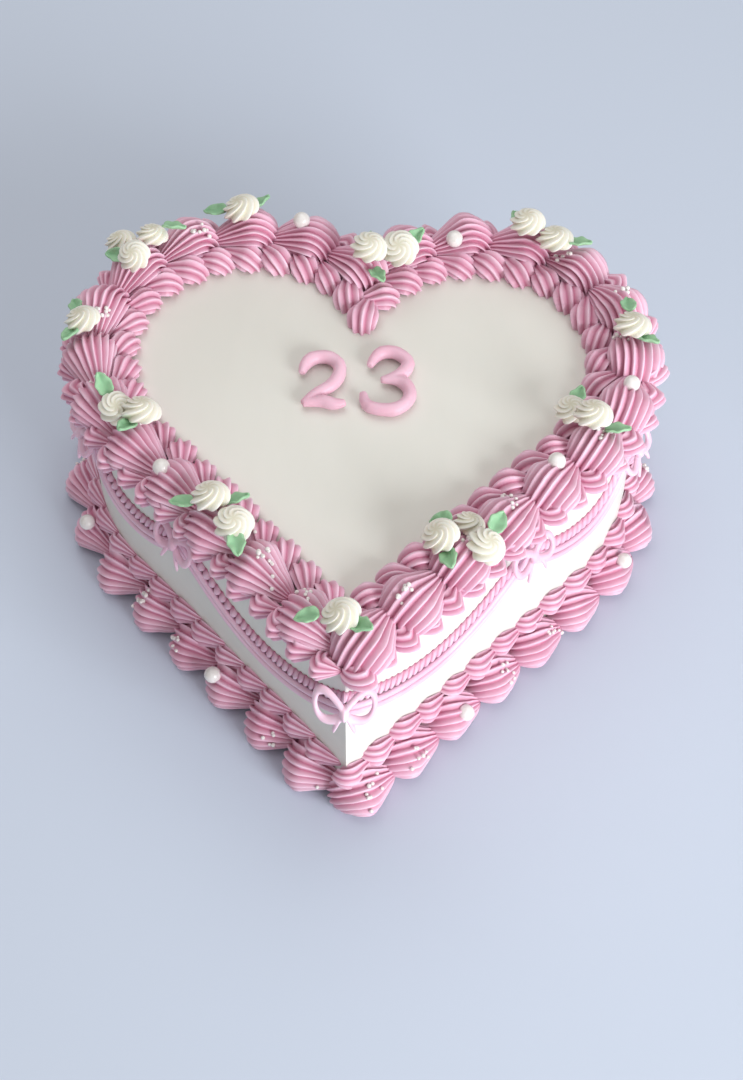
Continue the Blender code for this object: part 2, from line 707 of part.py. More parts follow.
def add_roses_and_leaves(tree, corners, collection, ivory, green):
    """Set each cluster's rosettes on the border and its leaves round them."""
    rose_count = 0
    leaf_count = 0
    for cluster in CLUSTERS:
        roses = []
        for x, y, size in cluster["roses"]:
            centre = Vector((x * MM, y * MM))
            radius = ROSE_RADIUS * size
            normal, origin = settle(tree, corners, centre, 0.96 * radius)
            mesh = rose_mesh("rose", radius)
            mesh.transform(facing(normal, Vector((1.0, 0.0, 0.0)), origin))
            roses.append((centre, radius, normal))
            rose_count += 1
            add_object(f"rose_{rose_count:02d}", mesh, collection, ivory)
        for index, bearing, size in cluster["leaves"]:
            centre, radius, normal = roses[index]
            angle = math.radians(bearing)
            way = Vector((math.cos(angle), math.sin(angle)))
            length = LEAF_LENGTH * size
            middle = centre + way * (radius + LEAF_START + 0.5 * length)
            normal, origin = settle(tree, corners, middle, 0.6 * length, normal)
            mesh = leaf_mesh("leaf", length)
            matrix = facing(normal, Vector((way.x, way.y, 0.0)), origin)
            mesh.transform(matrix @ Matrix.Translation((-0.5 * length, 0.0, LEAF_RAISE)))
            leaf_count += 1
            leaf = add_object(f"leaf_{leaf_count:02d}", mesh, collection, green)
            thick = leaf.modifiers.new("thickness", "SOLIDIFY")
            thick.thickness = LEAF_THICK
            thick.offset = 0.0


def stand_on_origin(collection):
    """Hang everything from one empty and move that so the outer box stands on the origin."""
    bpy.context.view_layer.update()
    corners = [thing.matrix_world @ Vector(c) for thing in collection.objects for c in thing.bound_box]
    low = Vector([min(c[i] for c in corners) for i in range(3)])
    high = Vector([max(c[i] for c in corners) for i in range(3)])
    frame = bpy.data.objects.new("cake_frame", None)
    bpy.context.scene.collection.objects.link(frame)
    for thing in collection.objects:
        thing.parent = frame
    frame.location = (-(low.x + high.x) / 2.0, -(low.y + high.y) / 2.0, -low.z)


def main():
    """Build the whole cake."""
    clear_scene()
    cake = new_collection("heart_cake")
    cutters = new_collection("cutters")
    draw = random.Random(23)
    pink = icing("pink_icing", PINK, 0.5)
    white = icing("white_icing", WHITE, 0.45)
    ivory = icing("ivory_icing", IVORY, 0.5)
    green = icing("green_icing", GREEN, 0.5)
    body = heart_prism("cake_body", 0.0, 0.0, CAKE_HEIGHT, cake, EDGE_ROUND)
    body.data.materials.append(white)
    clearance = heart_prism("body_clearance", GAP, -20.0 * MM, CAKE_HEIGHT + GAP, cutters)
    hide_as_cutter(clearance)
    floor = heart_prism("floor_clearance", 60.0 * MM, -60.0 * MM, 0.0, cutters)
    hide_as_cutter(floor)
    top = fuse("top_border", top_border_pieces(draw), [clearance], cake, pink, BORDER_KEPT)
    fuse("base_border", base_border_pieces(draw), [clearance, floor], cake, pink, BORDER_KEPT)
    add_object("garland", garland(), cake, pink)
    for i, joint in enumerate(joints()):
        reach = BOW_REACH if i else TIP_BOW_REACH
        bow = fuse(f"bow_{i + 1}", bow_pieces(reach), [], cake, pink, BOW_KEPT)
        wrap_on_wall(bow.data, joint)
    fuse("digit_two", digit_pieces(TWO), [], cake, pink)
    fuse("digit_three", digit_pieces(THREE), [], cake, pink)
    corners = [v.co.copy() for v in top.data.vertices]
    add_roses_and_leaves(tree_of([top.data]), corners, cake, ivory, green)
    stand_on_origin(cake)


main()
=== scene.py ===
"""Dress the heart cake: piped shells, garland, bows, rosettes, leaves, pearls and a piped number.

Every length is in metres. The heart's own plan has its front corner, the tip, at x = y = 0 and its back
cleft at +Y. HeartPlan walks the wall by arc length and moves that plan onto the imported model.
"""

import logging
import math
import random
from dataclasses import dataclass
from enum import Enum

import bmesh
import bpy
import numpy as np
from bpy.types import Material, Mesh, Node, NodeSocket, Object
from mathutils import Matrix, Vector, noise
from mathutils.bvhtree import BVHTree


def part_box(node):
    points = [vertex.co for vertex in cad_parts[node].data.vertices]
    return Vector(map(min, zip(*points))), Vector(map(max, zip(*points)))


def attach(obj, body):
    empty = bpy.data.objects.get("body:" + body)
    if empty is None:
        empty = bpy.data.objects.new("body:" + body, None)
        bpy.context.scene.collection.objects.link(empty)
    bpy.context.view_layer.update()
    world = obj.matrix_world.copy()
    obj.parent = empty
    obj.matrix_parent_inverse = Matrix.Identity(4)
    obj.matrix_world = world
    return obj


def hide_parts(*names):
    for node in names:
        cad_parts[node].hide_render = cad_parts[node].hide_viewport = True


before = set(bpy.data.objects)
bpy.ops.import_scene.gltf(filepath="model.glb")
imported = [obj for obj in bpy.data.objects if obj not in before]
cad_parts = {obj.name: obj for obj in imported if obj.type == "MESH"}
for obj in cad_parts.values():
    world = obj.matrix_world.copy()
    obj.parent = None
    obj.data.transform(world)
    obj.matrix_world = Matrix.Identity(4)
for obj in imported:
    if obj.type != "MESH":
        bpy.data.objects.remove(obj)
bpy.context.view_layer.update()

MM = 0.001
LOG = logging.getLogger("heart_cake")

Colour = tuple[float, float, float, float]
Place = tuple[float, float, float]
Span = tuple[float, float]
Strokes = tuple[tuple[tuple[float, float], ...], ...]
ORIGIN: Place = (0.0, 0.0, 0.0)
RISE = Vector((0.0, 0.0, 1.0))
FALL = Vector((0.0, 0.0, -1.0))
SIDES = (-1.0, 1.0)
ROSETTE_COUNT = 20
# Rosettes whose middles lie closer than this form a cluster, and each is pressed by this share to its middle
CLUSTER_REACH = 23.0 * MM
CLUSTER_PRESS = 0.16

# How often a hand-piped surface wanders in a metre, slowly and quickly, and the quick wander's share
SLOW_WANDER = 70.0
QUICK_WANDER = 260.0
QUICK_SHARE = 0.35
# How thick an open rope is at its ends, as a share of its thickness
ROPE_END = 0.55
# The mesh attribute that holds how much painted shade a vertex gets, from 0 to 1, the deeper in a groove or
# notch the more
PAINTED_SHADE = "painted_shade"
# Of the four vertices of a ridge, the first lies in the groove and its neighbours on the flanks; each share
# sets both how far in it sinks and how much painted shade it gets
PER_RIDGE = 4
GROOVE_STEPS = ((0, 1.0), (1, 0.55), (3, 0.55))


class Slot(Enum):
    """The record's material slots."""

    PINK = "pink_icing"
    WHITE = "white_icing"
    IVORY = "ivory_icing"
    GREEN = "green_icing"


class Axis(Enum):
    """The axes that an edit turns about."""

    Y = "Y"
    Z = "Z"


class FinishTree:
    """A Principled material in the making, with the node moves that the finishes share."""

    def __init__(self, name: str, **inputs: float | tuple[float, ...]) -> None:
        """Start the material and set the shader's constants.

        Args:
            name: The material's name.
            inputs: The shader's inputs by name, with _ for each blank.
        """
        self.material = bpy.data.materials.new(name)
        self.material.use_nodes = True
        self.tree = self.material.node_tree
        self.shader = self.tree.nodes["Principled BSDF"]
        for key, value in inputs.items():
            self.shader.inputs[key.replace("_", " ")].default_value = value

    def link(self, source: NodeSocket, target: NodeSocket) -> None:
        """Link an output to an input."""
        self.tree.links.new(source, target)

    def object_place(self) -> NodeSocket:
        """Return the Object coordinates."""
        return self.tree.nodes.new("ShaderNodeTexCoord").outputs["Object"]

    def cloud(self, place: NodeSocket, scale: float, detail: float) -> NodeSocket:
        """Return a soft noise read at a place."""
        cloud = self.tree.nodes.new("ShaderNodeTexNoise")
        cloud.inputs["Scale"].default_value = scale
        cloud.inputs["Detail"].default_value = detail
        self.link(place, cloud.inputs["Vector"])
        return cloud.outputs["Fac"]

    def ramp(self, source: NodeSocket, span: Span, low: Colour, high: Colour) -> NodeSocket:
        """Return a blend of two colours by where a value lies in a span.

        Args:
            source: The value.
            span: Where the blend starts and ends.
            low: The colour below the span.
            high: The colour above it.

        Returns:
            The blended colour.
        """
        ramp = self.tree.nodes.new("ShaderNodeValToRGB")
        for stop, position, colour in zip(ramp.color_ramp.elements, span, (low, high)):
            stop.position = position
            stop.color = colour
        self.link(source, ramp.inputs["Fac"])
        return ramp.outputs["Color"]

    def reckon(self, operation: str, source: NodeSocket) -> Node:
        """Return a math node whose first value is the source."""
        node = self.tree.nodes.new("ShaderNodeMath")
        node.operation = operation
        self.link(source, node.inputs[0])
        return node

    def bump(self, height: NodeSocket, strength: float, depth: float) -> None:
        """Roughen the surface by a height."""
        bump = self.tree.nodes.new("ShaderNodeBump")
        bump.inputs["Strength"].default_value = strength
        bump.inputs["Distance"].default_value = depth
        self.link(height, bump.inputs["Height"])
        self.link(bump.outputs["Normal"], self.shader.inputs["Normal"])


@dataclass(frozen=True)
class ButtercreamFinish:
    """Whipped buttercream: pale crests, painted shade in grooves and creases, faint blotches and a fine drag
    grain.
    """

    name: str
    # The crest colour is the icing's own colour; the next one is painted shade for grooves, notches and
    # creases
    crest: Colour
    painted_shade: Colour
    blotch: Colour
    roughness: float = 0.42
    gloss: float = 0.4
    glow: float = 0.12
    glow_tint: Place = (1.0, 0.6, 0.6)
    glow_depth: float = 1.5 * MM
    cloud_scale: float = 55.0
    cloud_span: Span = (0.38, 0.62)
    # The Pointiness span over which painted crease shade fades out, and the power on the attribute's painted
    # shade amount
    crease_shade_span: Span = (0.44, 0.505)
    groove_steepness: float = 1.35
    grain: float = 0.12
    grain_scale: float = 1500.0
    grain_depth: float = 0.25 * MM

    def material(self) -> Material:
        """Return the finish as a Principled material on Object coordinates."""
        work = FinishTree(
            self.name, Roughness=self.roughness, Specular_IOR_Level=self.gloss, Subsurface_Weight=self.glow,
            Subsurface_Radius=self.glow_tint, Subsurface_Scale=self.glow_depth,
        )
        place = work.object_place()
        cloud = work.cloud(place, self.cloud_scale, detail=4.0)
        skin = work.ramp(cloud, self.cloud_span, self.blotch, self.crest)
        # Painted shade: the shade colour is mixed in where the surface curves inwards, by Pointiness, and
        # where the mesh attribute marks a groove or notch, whichever is more
        shape = work.tree.nodes.new("ShaderNodeNewGeometry").outputs["Pointiness"]
        crease_shade = work.ramp(shape, self.crease_shade_span, low=(1.0, 1.0, 1.0, 1.0), high=(0.0, 0.0, 0.0, 1.0))
        groove = work.tree.nodes.new("ShaderNodeAttribute")
        groove.attribute_name = PAINTED_SHADE
        steep = work.reckon("POWER", groove.outputs["Fac"])
        steep.inputs[1].default_value = self.groove_steepness
        shade_amount = work.reckon("MAXIMUM", steep.outputs["Value"])
        work.link(crease_shade, shade_amount.inputs[1])
        mix = work.tree.nodes.new("ShaderNodeMix")
        mix.data_type = "RGBA"
        work.link(shade_amount.outputs["Value"], mix.inputs["Factor"])
        work.link(skin, mix.inputs["A"])
        mix.inputs["B"].default_value = self.painted_shade
        work.link(mix.outputs["Result"], work.shader.inputs["Base Color"])
        work.bump(work.cloud(place, self.grain_scale, detail=3.0), self.grain, self.grain_depth)
        return work.material


@dataclass(frozen=True)
class SmoothedIcingFinish:
    """Icing drawn smooth with a scraper: long faint streaks, small pits, a soft greenish white."""

    name: str
    colour: Colour
    shade: Colour
    roughness: float = 0.38
    gloss: float = 0.35
    glow: float = 0.1
    glow_tint: Place = (1.0, 0.8, 0.7)
    glow_depth: float = 2.0 * MM
    smear: Place = (1.0, 0.35, 2.2)
    cloud_scale: float = 28.0
    cloud_span: Span = (0.35, 0.65)
    drag: float = 0.1
    drag_scale: float = 160.0
    drag_depth: float = 0.6 * MM

    def material(self) -> Material:
        """Return the finish as a Principled material on Object coordinates."""
        work = FinishTree(
            self.name, Roughness=self.roughness, Specular_IOR_Level=self.gloss, Subsurface_Weight=self.glow,
            Subsurface_Radius=self.glow_tint, Subsurface_Scale=self.glow_depth,
        )
        smear = work.tree.nodes.new("ShaderNodeMapping")
        smear.inputs["Scale"].default_value = self.smear
        work.link(work.object_place(), smear.inputs["Vector"])
        place = smear.outputs["Vector"]
        cloud = work.cloud(place, self.cloud_scale, detail=5.0)
        skin = work.ramp(cloud, self.cloud_span, self.shade, self.colour)
        work.link(skin, work.shader.inputs["Base Color"])
        work.bump(work.cloud(place, self.drag_scale, detail=6.0), self.drag, self.drag_depth)
        return work.material


@dataclass(frozen=True)
class PearlFinish:
    """A hard sugar ball with a pearly coat, slightly mottled."""

    name: str
    colour: Colour
    shade: Colour
    roughness: float = 0.22
    coat: float = 0.5
    coat_roughness: float = 0.1
    mottle_scale: float = 400.0
    mottle_span: Span = (0.35, 0.6)

    def material(self) -> Material:
        """Return the finish as a Principled material on Object coordinates."""
        work = FinishTree(
            self.name, Roughness=self.roughness, Coat_Weight=self.coat, Coat_Roughness=self.coat_roughness
        )
        mottle = work.cloud(work.object_place(), self.mottle_scale, detail=2.0)
        skin = work.ramp(mottle, self.mottle_span, self.shade, self.colour)
        work.link(skin, work.shader.inputs["Base Color"])
        return work.material


@dataclass(frozen=True)
class StudioFloorFinish:
    """A pale matt table top."""

    name: str
    colour: Colour
    roughness: float = 0.6

    def material(self) -> Material:
        """Return the finish as a plain Principled material."""
        return FinishTree(self.name, Base_Color=self.colour, Roughness=self.roughness).material


@dataclass(frozen=True)
class HeartPlan:
    """The wall's outline, walked counter-clockwise from the tip by its own arc length."""

    shift: Vector
    tip_half_angle: float = math.radians(43.0)
    straight: float = 130.0 * MM
    shoulder_radius: float = 78.0 * MM
    lobe_radius: float = 64.5 * MM
    height: float = 86.0 * MM
    half_joints: tuple[float, ...] = (0.0, 95.5 * MM, 158.0 * MM, 249.0 * MM)
    samples: int = 1361

    @property
    def joints(self) -> list[float]:
        """Where the garland is pinned up, as distances along the wall from the tip."""
        mirrored = [self.total - place for place in reversed(self.half_joints[1:])]
        return [*self.half_joints, self.half, *mirrored]

    @property
    def tangent_end(self) -> Vector:
        """Where the right wall's straight stretch ends."""
        return Vector((math.sin(self.tip_half_angle), math.cos(self.tip_half_angle))) * self.straight

    @property
    def shoulder_centre(self) -> Vector:
        """The centre of the shoulder's arc."""
        inward = Vector((-math.cos(self.tip_half_angle), math.sin(self.tip_half_angle)))
        return self.tangent_end + inward * self.shoulder_radius

    @property
    def lobe_centre(self) -> Vector:
        """The centre of the lobe's arc."""
        return self.shoulder_centre + Vector((self.shoulder_radius - self.lobe_radius, 0.0))

    @property
    def shoulder_arc(self) -> float:
        """The length of the shoulder's arc."""
        return self.shoulder_radius * self.tip_half_angle

    @property
    def half(self) -> float:
        """Half of the way round."""
        return self.straight + self.shoulder_arc + self.lobe_radius * self.cleft_angle(0.0)

    @property
    def total(self) -> float:
        """The whole way round."""
        return 2.0 * self.half

    def cleft_angle(self, offset: float) -> float:
        """Return how far the lobe's arc turns before it meets the other lobe."""
        return math.acos(-self.lobe_centre.x / (self.lobe_radius + offset))

    def half_place(self, along: float, offset: float) -> tuple[Vector, float]:
        """Return a place on the right half.

        Args:
            along: Distance from the tip, along the wall.
            offset: Distance outwards from the wall.

        Returns:
            The point in the heart's plan, and the heading there in radians.
        """
        turn = self.tip_half_angle
        outward = Vector((math.cos(turn), -math.sin(turn)))
        if along < self.straight:
            tip = Vector((0.0, -offset / math.sin(turn)))
            end = self.tangent_end + outward * offset
            return tip.lerp(end, along / self.straight), math.pi / 2 - turn
        if along < self.straight + self.shoulder_arc:
            angle = (along - self.straight) / self.shoulder_radius - turn
            centre, radius = self.shoulder_centre, self.shoulder_radius
        else:
            rest = self.straight + self.shoulder_arc
            share = (along - rest) / (self.half - rest)
            angle = share * self.cleft_angle(offset)
            centre, radius = self.lobe_centre, self.lobe_radius
        out = Vector((math.cos(angle), math.sin(angle)))
        return centre + out * (radius + offset), angle + math.pi / 2

    def place(self, along: float, offset: float, height: float = 0.0) -> tuple[Vector, float]:
        """Return a place anywhere on the wall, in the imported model's frame.

        Args:
            along: Distance from the tip, counter-clockwise along the wall.
            offset: Distance outwards from the wall.
            height: Height above the cake's underside.

        Returns:
            The point in space, and the heading there in radians.
        """
        along %= self.total
        if along <= self.half:
            point, heading = self.half_place(along, offset)
        else:
            point, heading = self.half_place(self.total - along, offset)
            point, heading = Vector((-point.x, point.y)), -heading
        return Vector((point.x, point.y, height)) + self.shift, heading

    def on_left(self, along: float) -> bool:
        """Tell whether a place along the wall, counted from the tip, lies on the left side."""
        return along % self.total > 0.5 * self.total

    def even_steps(self, count: int, offset: float, start: float) -> list[float]:
        """Return positions along the wall that lie equally far apart on an offset line."""
        samples = np.linspace(0.0, self.total, self.samples)
        points = np.array([self.place(float(s), offset)[0] for s in samples])
        run = np.concatenate([[0.0], np.cumsum(np.linalg.norm(np.diff(points, axis=0), axis=1))])
        wanted = (np.arange(count) / count * run[-1] + start) % run[-1]
        return [float(s) for s in np.interp(wanted, run, samples)]


def plan_on_model() -> HeartPlan:
    """Return the heart's plan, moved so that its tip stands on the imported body's tip."""
    low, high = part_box("cake_body")
    return HeartPlan(shift=Vector(((low.x + high.x) / 2.0, low.y, low.z)))


def outward_of(heading: float) -> Vector:
    """Return the level direction that points away from the cake."""
    return Vector((math.sin(heading), -math.cos(heading), 0.0))


def upright(heading: float, lean: float) -> Vector:
    """Return the direction that leans from straight up towards the outside."""
    return outward_of(heading) * math.sin(lean) + Vector((0.0, 0.0, math.cos(lean)))


def seat(point: Vector, heading: float, up: Vector, size: float, swerve: float) -> Matrix:
    """Return the matrix that seats a piped shape.

    Args:
        point: Where its foot stands.
        heading: The way it is drawn, in radians from +X.
        up: Which way it rises.
        size: Its scale.
        swerve: How far it turns inwards from the heading, in radians.

    Returns:
        The matrix: X along the heading, Z along up.
    """
    up = up.normalized()
    along = Vector((math.cos(heading), math.sin(heading), 0.0))
    along = (along - up * along.dot(up)).normalized()
    along = Matrix.Rotation(swerve, 3, up) @ along
    turn = Matrix((along, up.cross(along), up)).transposed().to_4x4()
    return Matrix.Translation(point) @ turn @ Matrix.Scale(size, 4)


class Bench:
    """The few modelling moves that the pieces share."""

    @staticmethod
    def clear() -> None:
        """Deselect everything in object mode."""
        bpy.ops.object.select_all(action="DESELECT")

    @staticmethod
    def hold(thing: Object) -> None:
        """Select one object alone and make it the active one."""
        Bench.clear()
        thing.select_set(True)
        bpy.context.view_layer.objects.active = thing

    @staticmethod
    def apply(thing: Object, kind: str, **settings: float | str) -> None:
        """Give the object held a modifier and apply it.

        Args:
            thing: The object held.
            kind: The modifier's type.
            settings: The modifier's own settings.
        """
        modifier = thing.modifiers.new(kind.lower(), kind)
        for key, value in settings.items():
            setattr(modifier, key, value)
        bpy.ops.object.modifier_apply(modifier=modifier.name)

    @staticmethod
    def edit() -> None:
        """Go into edit mode."""
        bpy.ops.object.mode_set(mode="EDIT")

    @staticmethod
    def leave_edit() -> None:
        """Go back to object mode."""
        bpy.ops.object.mode_set(mode="OBJECT")

    @staticmethod
    def pick(chosen: set[int]) -> None:
        """Select vertices of the mesh in edit mode by their index."""
        shape = bmesh.from_edit_mesh(bpy.context.object.data)
        for vert in shape.verts:
            vert.select_set(vert.index in chosen)
        shape.select_flush(True)
        bmesh.update_edit_mesh(bpy.context.object.data)

    @staticmethod
    def stretch(x: float, y: float, z: float, about: Place = ORIGIN) -> None:
        """Scale what is selected about a point."""
        bpy.ops.transform.resize(value=(x, y, z), center_override=about)

    @staticmethod
    def turn(angle: float, axis: Axis) -> None:
        """Turn what is selected by the right-hand rule about an axis through the origin."""
        bpy.ops.transform.rotate(value=-angle, orient_axis=axis.value, center_override=ORIGIN)

    @staticmethod
    def pull(x: float, y: float, z: float) -> None:
        """Extrude what is selected and move it."""
        bpy.ops.mesh.extrude_region_move(TRANSFORM_OT_translate={"value": (x, y, z)})

    @staticmethod
    def star(ridges: int, depth: float) -> Object:
        """Add a flat star of radius 1 with its grooves marked for painted shade, and stay in edit mode.

        Args:
            ridges: How many ridges the star has.
            depth: How deep a groove is, as a share of the radius.

        Returns:
            The star, with its whole rim selected.
        """
        Bench.clear()
        bpy.ops.mesh.primitive_circle_add(vertices=PER_RIDGE * ridges, radius=1.0, fill_type="NGON")
        star = bpy.context.object
        Bench.edit()
        for first, share in GROOVE_STEPS:
            Bench.pick(set(range(first, PER_RIDGE * ridges, PER_RIDGE)))
            Bench.stretch(1.0 - depth * share, 1.0 - depth * share, 1.0)
            shape = bmesh.from_edit_mesh(bpy.context.object.data)
            # Each picked vertex gets its share as its amount of painted shade
            shade_layer = shape.verts.layers.float.get(PAINTED_SHADE) or shape.verts.layers.float.new(PAINTED_SHADE)
            for vert in shape.verts:
                if vert.select:
                    vert[shade_layer] = share
            bmesh.update_edit_mesh(bpy.context.object.data)
        Bench.pick(set(range(PER_RIDGE * ridges)))
        return star

    @staticmethod
    def mark_painted_shade(thing: Object, shade_amounts: list[float]) -> None:
        """Store how much painted shade each of a mesh's vertices gets, from 0 to 1."""
        shade_layer = thing.data.attributes.new(PAINTED_SHADE, "FLOAT", "POINT")
        shade_layer.data.foreach_set("value", shade_amounts)

    @staticmethod
    def face_outwards() -> None:
        """Turn every face of the mesh in edit mode outwards."""
        bpy.ops.mesh.select_all(action="SELECT")
        bpy.ops.mesh.normals_make_consistent(inside=False)

    @staticmethod
    def smooth(thing: Object, levels: int) -> None:
        """Apply a subdivision surface and smooth shading."""
        Bench.hold(thing)
        if levels:
            Bench.apply(thing, "SUBSURF", levels=levels, render_levels=levels)
        bpy.ops.object.shade_smooth()

    @staticmethod
    def thicken(sheet: Object, thickness: float, merge: float) -> None:
        """Turn a sheet into a closed body.

        Args:
            sheet: The open sheet.
            thickness: How thick it becomes.
            merge: How close vertices lie that become one.
        """
        Bench.hold(sheet)
        Bench.apply(sheet, "SOLIDIFY", thickness=thickness, offset=0.0)
        Bench.edit()
        bpy.ops.mesh.select_all(action="SELECT")
        bpy.ops.mesh.remove_doubles(threshold=merge)
        Bench.face_outwards()
        Bench.leave_edit()

    @staticmethod
    def take_mesh(thing: Object) -> Mesh:
        """Keep a finished master's mesh and remove its object."""
        mesh = thing.data
        bpy.data.objects.remove(thing)
        return mesh

    @staticmethod
    def close_up(thing: Object, levels: int) -> Mesh:
        """Pinch the last section of a master in edit mode to a point and finish it.

        Args:
            thing: The master.
            levels: How often its surface is subdivided.

        Returns:
            The master's mesh.
        """
        bpy.ops.mesh.merge(type="CENTER")
        Bench.face_outwards()
        Bench.leave_edit()
        Bench.smooth(thing, levels)
        return Bench.take_mesh(thing)

    @staticmethod
    def lay_out(name: str, master: Mesh, places: list[Matrix], wobble: float) -> Object:
        """Copy a master to every place and join the copies into one piece.

        Args:
            name: The piece's name.
            master: The modelled shape.
            places: Where the copies go.
            wobble: How far a hand-piped surface wanders, in metres.

        Returns:
            The joined piece, standing at the origin.
        """
        copies = []
        for matrix in places:
            mesh = master.copy()
            mesh.transform(matrix)
            for vert in mesh.vertices:
                slow = noise.noise_vector(vert.co * SLOW_WANDER)
                quick = noise.noise_vector(vert.co * QUICK_WANDER)
                vert.co += (slow + quick * QUICK_SHARE) * wobble
            copy = bpy.data.objects.new(name, mesh)
            bpy.context.scene.collection.objects.link(copy)
            copies.append(copy)
        return Bench.join(name, copies)

    @staticmethod
    def rope(name: str, points: list[Vector], radius: float, closed: bool, rounds: int = 3) -> Object:
        """Return a round rope of icing through the points as a mesh.

        Args:
            name: The piece's name.
            points: The line it follows.
            radius: Its half thickness.
            closed: Whether it runs back into itself.
            rounds: How finely it is rounded.

        Returns:
            The rope's object.
        """
        line = bpy.data.curves.new(name, "CURVE")
        line.dimensions = "3D"
        line.bevel_depth = radius
        line.bevel_resolution = rounds
        line.use_fill_caps = True
        line.resolution_u = 3
        spline = line.splines.new("NURBS")
        spline.points.add(len(points) - 1)
        for target, point in zip(spline.points, points):
            target.co = (*point, 1.0)
        spline.order_u = 3
        spline.use_cyclic_u = closed
        spline.use_endpoint_u = not closed
        if not closed:
            for end in (0, -1):
                spline.points[end].radius = ROPE_END
        thing = bpy.data.objects.new(name, line)
        bpy.context.scene.collection.objects.link(thing)
        Bench.hold(thing)
        bpy.ops.object.convert(target="MESH")
        thing = bpy.context.view_layer.objects.active
        bpy.ops.object.shade_smooth()
        return thing

    @staticmethod
    def join(name: str, things: list[Object]) -> Object:
        """Join several objects into one piece."""
        Bench.clear()
        for thing in things:
            thing.select_set(True)
        bpy.context.view_layer.objects.active = things[0]
        if len(things) > 1:
            bpy.ops.object.join()
        piece = bpy.context.view_layer.objects.active
        piece.name = name
        return piece

    @staticmethod
    def melt(thing: Object, voxel: float, rounds: int) -> None:
        """Fuse a piece's overlapping ropes into one soft skin.

        Args:
            thing: The piece.
            voxel: How fine the new skin is.
            rounds: How often it is smoothed.
        """
        Bench.hold(thing)
        Bench.apply(thing, "REMESH", mode="VOXEL", voxel_size=voxel)
        Bench.apply(thing, "SMOOTH", factor=0.6, iterations=rounds)
        bpy.ops.object.shade_smooth()


def dress(piece: Object, material: Material, nodes: tuple[str, ...]) -> None:
    """Finish a piece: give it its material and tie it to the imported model.

    Args:
        piece: The finished piece.
        material: What it is made of.
        nodes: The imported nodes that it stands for.
    """
    piece.data.materials.clear()
    piece.data.materials.append(material)
    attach(piece, "root")
    if nodes:
        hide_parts(*nodes)
    LOG.info("%s: %d faces", piece.name, len(piece.data.polygons))


@dataclass(frozen=True)
class PipedShell:
    """A shell from a star tip: ridges rise from under the head, run over it and meet at the tail."""

    half_width: float
    height: float
    reach: float
    tail: float
    ridges: int
    groove: float = 0.36
    pinch: float = 0.62
    curl: float = math.radians(24.0)
    head_steps: int = 6
    tail_steps: tuple[float, ...] = (0.16, 0.34, 0.54, 0.74, 0.9)
    taper: float = 0.8
    levels: int = 1
    # The first section as shares of the reach: its half length, its middle, and where its front is cut flat
    section: Place = (0.56, -0.44, -0.03)

    def mesh(self) -> Mesh:
        """Model the shell, drawn along +X from a head at the origin.

        Returns:
            The shell's mesh.
        """
        half_length, middle, flat = (share * self.reach for share in self.section)
        star = Bench.star(self.ridges, self.groove)
        Bench.stretch(half_length, self.half_width, 1.0)
        bpy.ops.transform.translate(value=(middle, 0.0, 0.0))
        shape = bmesh.from_edit_mesh(star.data)
        Bench.pick({v.index for v in shape.verts if v.co.x > flat})
        Bench.stretch(0.0, 1.0, 1.0, (flat, 0.0, 0.0))
        Bench.pick(set(range(PER_RIDGE * self.ridges)))
        Bench.turn(-self.curl, Axis.Y)
        Bench.stretch(1.0, self.pinch, 1.0)
        step = (math.pi / 2.0 + self.curl) / self.head_steps
        grow = (self.height / self.reach) ** (1.0 / self.head_steps)
        wide = self.pinch
        for i in range(self.head_steps):
            Bench.pull(0.0, 0.0, 0.0)
            Bench.turn(step, Axis.Y)
            wider = self.pinch + (1.0 - self.pinch) * math.sin(math.pi / 2.0 * (i + 1) / self.head_steps)
            Bench.stretch(grow, wider / wide, grow)
            wide = wider
        self.draw_out()
        return Bench.close_up(star, self.levels)

    def draw_out(self) -> None:
        """Pull the standing section out to the tail, thinner at each step."""
        before = 0.0
        size = 1.0
        for share in self.tail_steps:
            Bench.pull(self.tail * (share - before), 0.0, 0.0)
            thinner = (1.0 - share) ** self.taper
            ratio = thinner / size
            Bench.stretch(1.0, ratio, ratio, (self.tail * share, 0.0, 0.0))
            before, size = share, thinner


@dataclass
class CakeCoat:
    """The white coat: the heart pulled up from its outline, with a soft top edge."""

    plan: HeartPlan
    finish: SmoothedIcingFinish
    edge_round: float = 2.2 * MM
    edge_turns: tuple[float, ...] = (0.0, 30.0, 60.0, 90.0)
    step: float = 2.0 * MM
    middle: float = 110.0 * MM
    crease: float = math.radians(35.0)

    def build(self) -> None:
        """Model the coat and dress it."""
        count = 2 * round(self.plan.half / self.step)
        Bench.clear()
        bpy.ops.mesh.primitive_circle_add(vertices=count, radius=self.middle, fill_type="NGON")
        coat = bpy.context.object
        coat.name = "cake_coat"
        for i, vert in enumerate(coat.data.vertices):
            vert.co = self.plan.place(self.plan.total * i / count, 0.0)[0]
        Bench.edit()
        Bench.pick(set(range(count)))
        Bench.pull(0.0, 0.0, self.plan.height - self.edge_round)
        for turns in zip(self.edge_turns, self.edge_turns[1:]):
            before, angle = map(math.radians, turns)
            Bench.pull(0.0, 0.0, self.edge_round * (math.sin(angle) - math.sin(before)))
            self.draw_in(coat, self.edge_round * (math.cos(before) - math.cos(angle)))
        Bench.leave_edit()
        Bench.hold(coat)
        bpy.ops.object.shade_smooth_by_angle(angle=self.crease)
        dress(coat, self.finish.material(), ("cake_body",))

    def draw_in(self, coat: Object, inward: float) -> None:
        """Move the selected ring inwards from the wall."""
        shape = bmesh.from_edit_mesh(coat.data)
        middle = self.plan.shift + Vector((0.0, self.middle, 0.0))
        for vert in shape.verts:
            if vert.select:
                way = Vector((middle.x - vert.co.x, middle.y - vert.co.y, 0.0))
                vert.co += way.normalized() * inward
        bmesh.update_edit_mesh(coat.data)


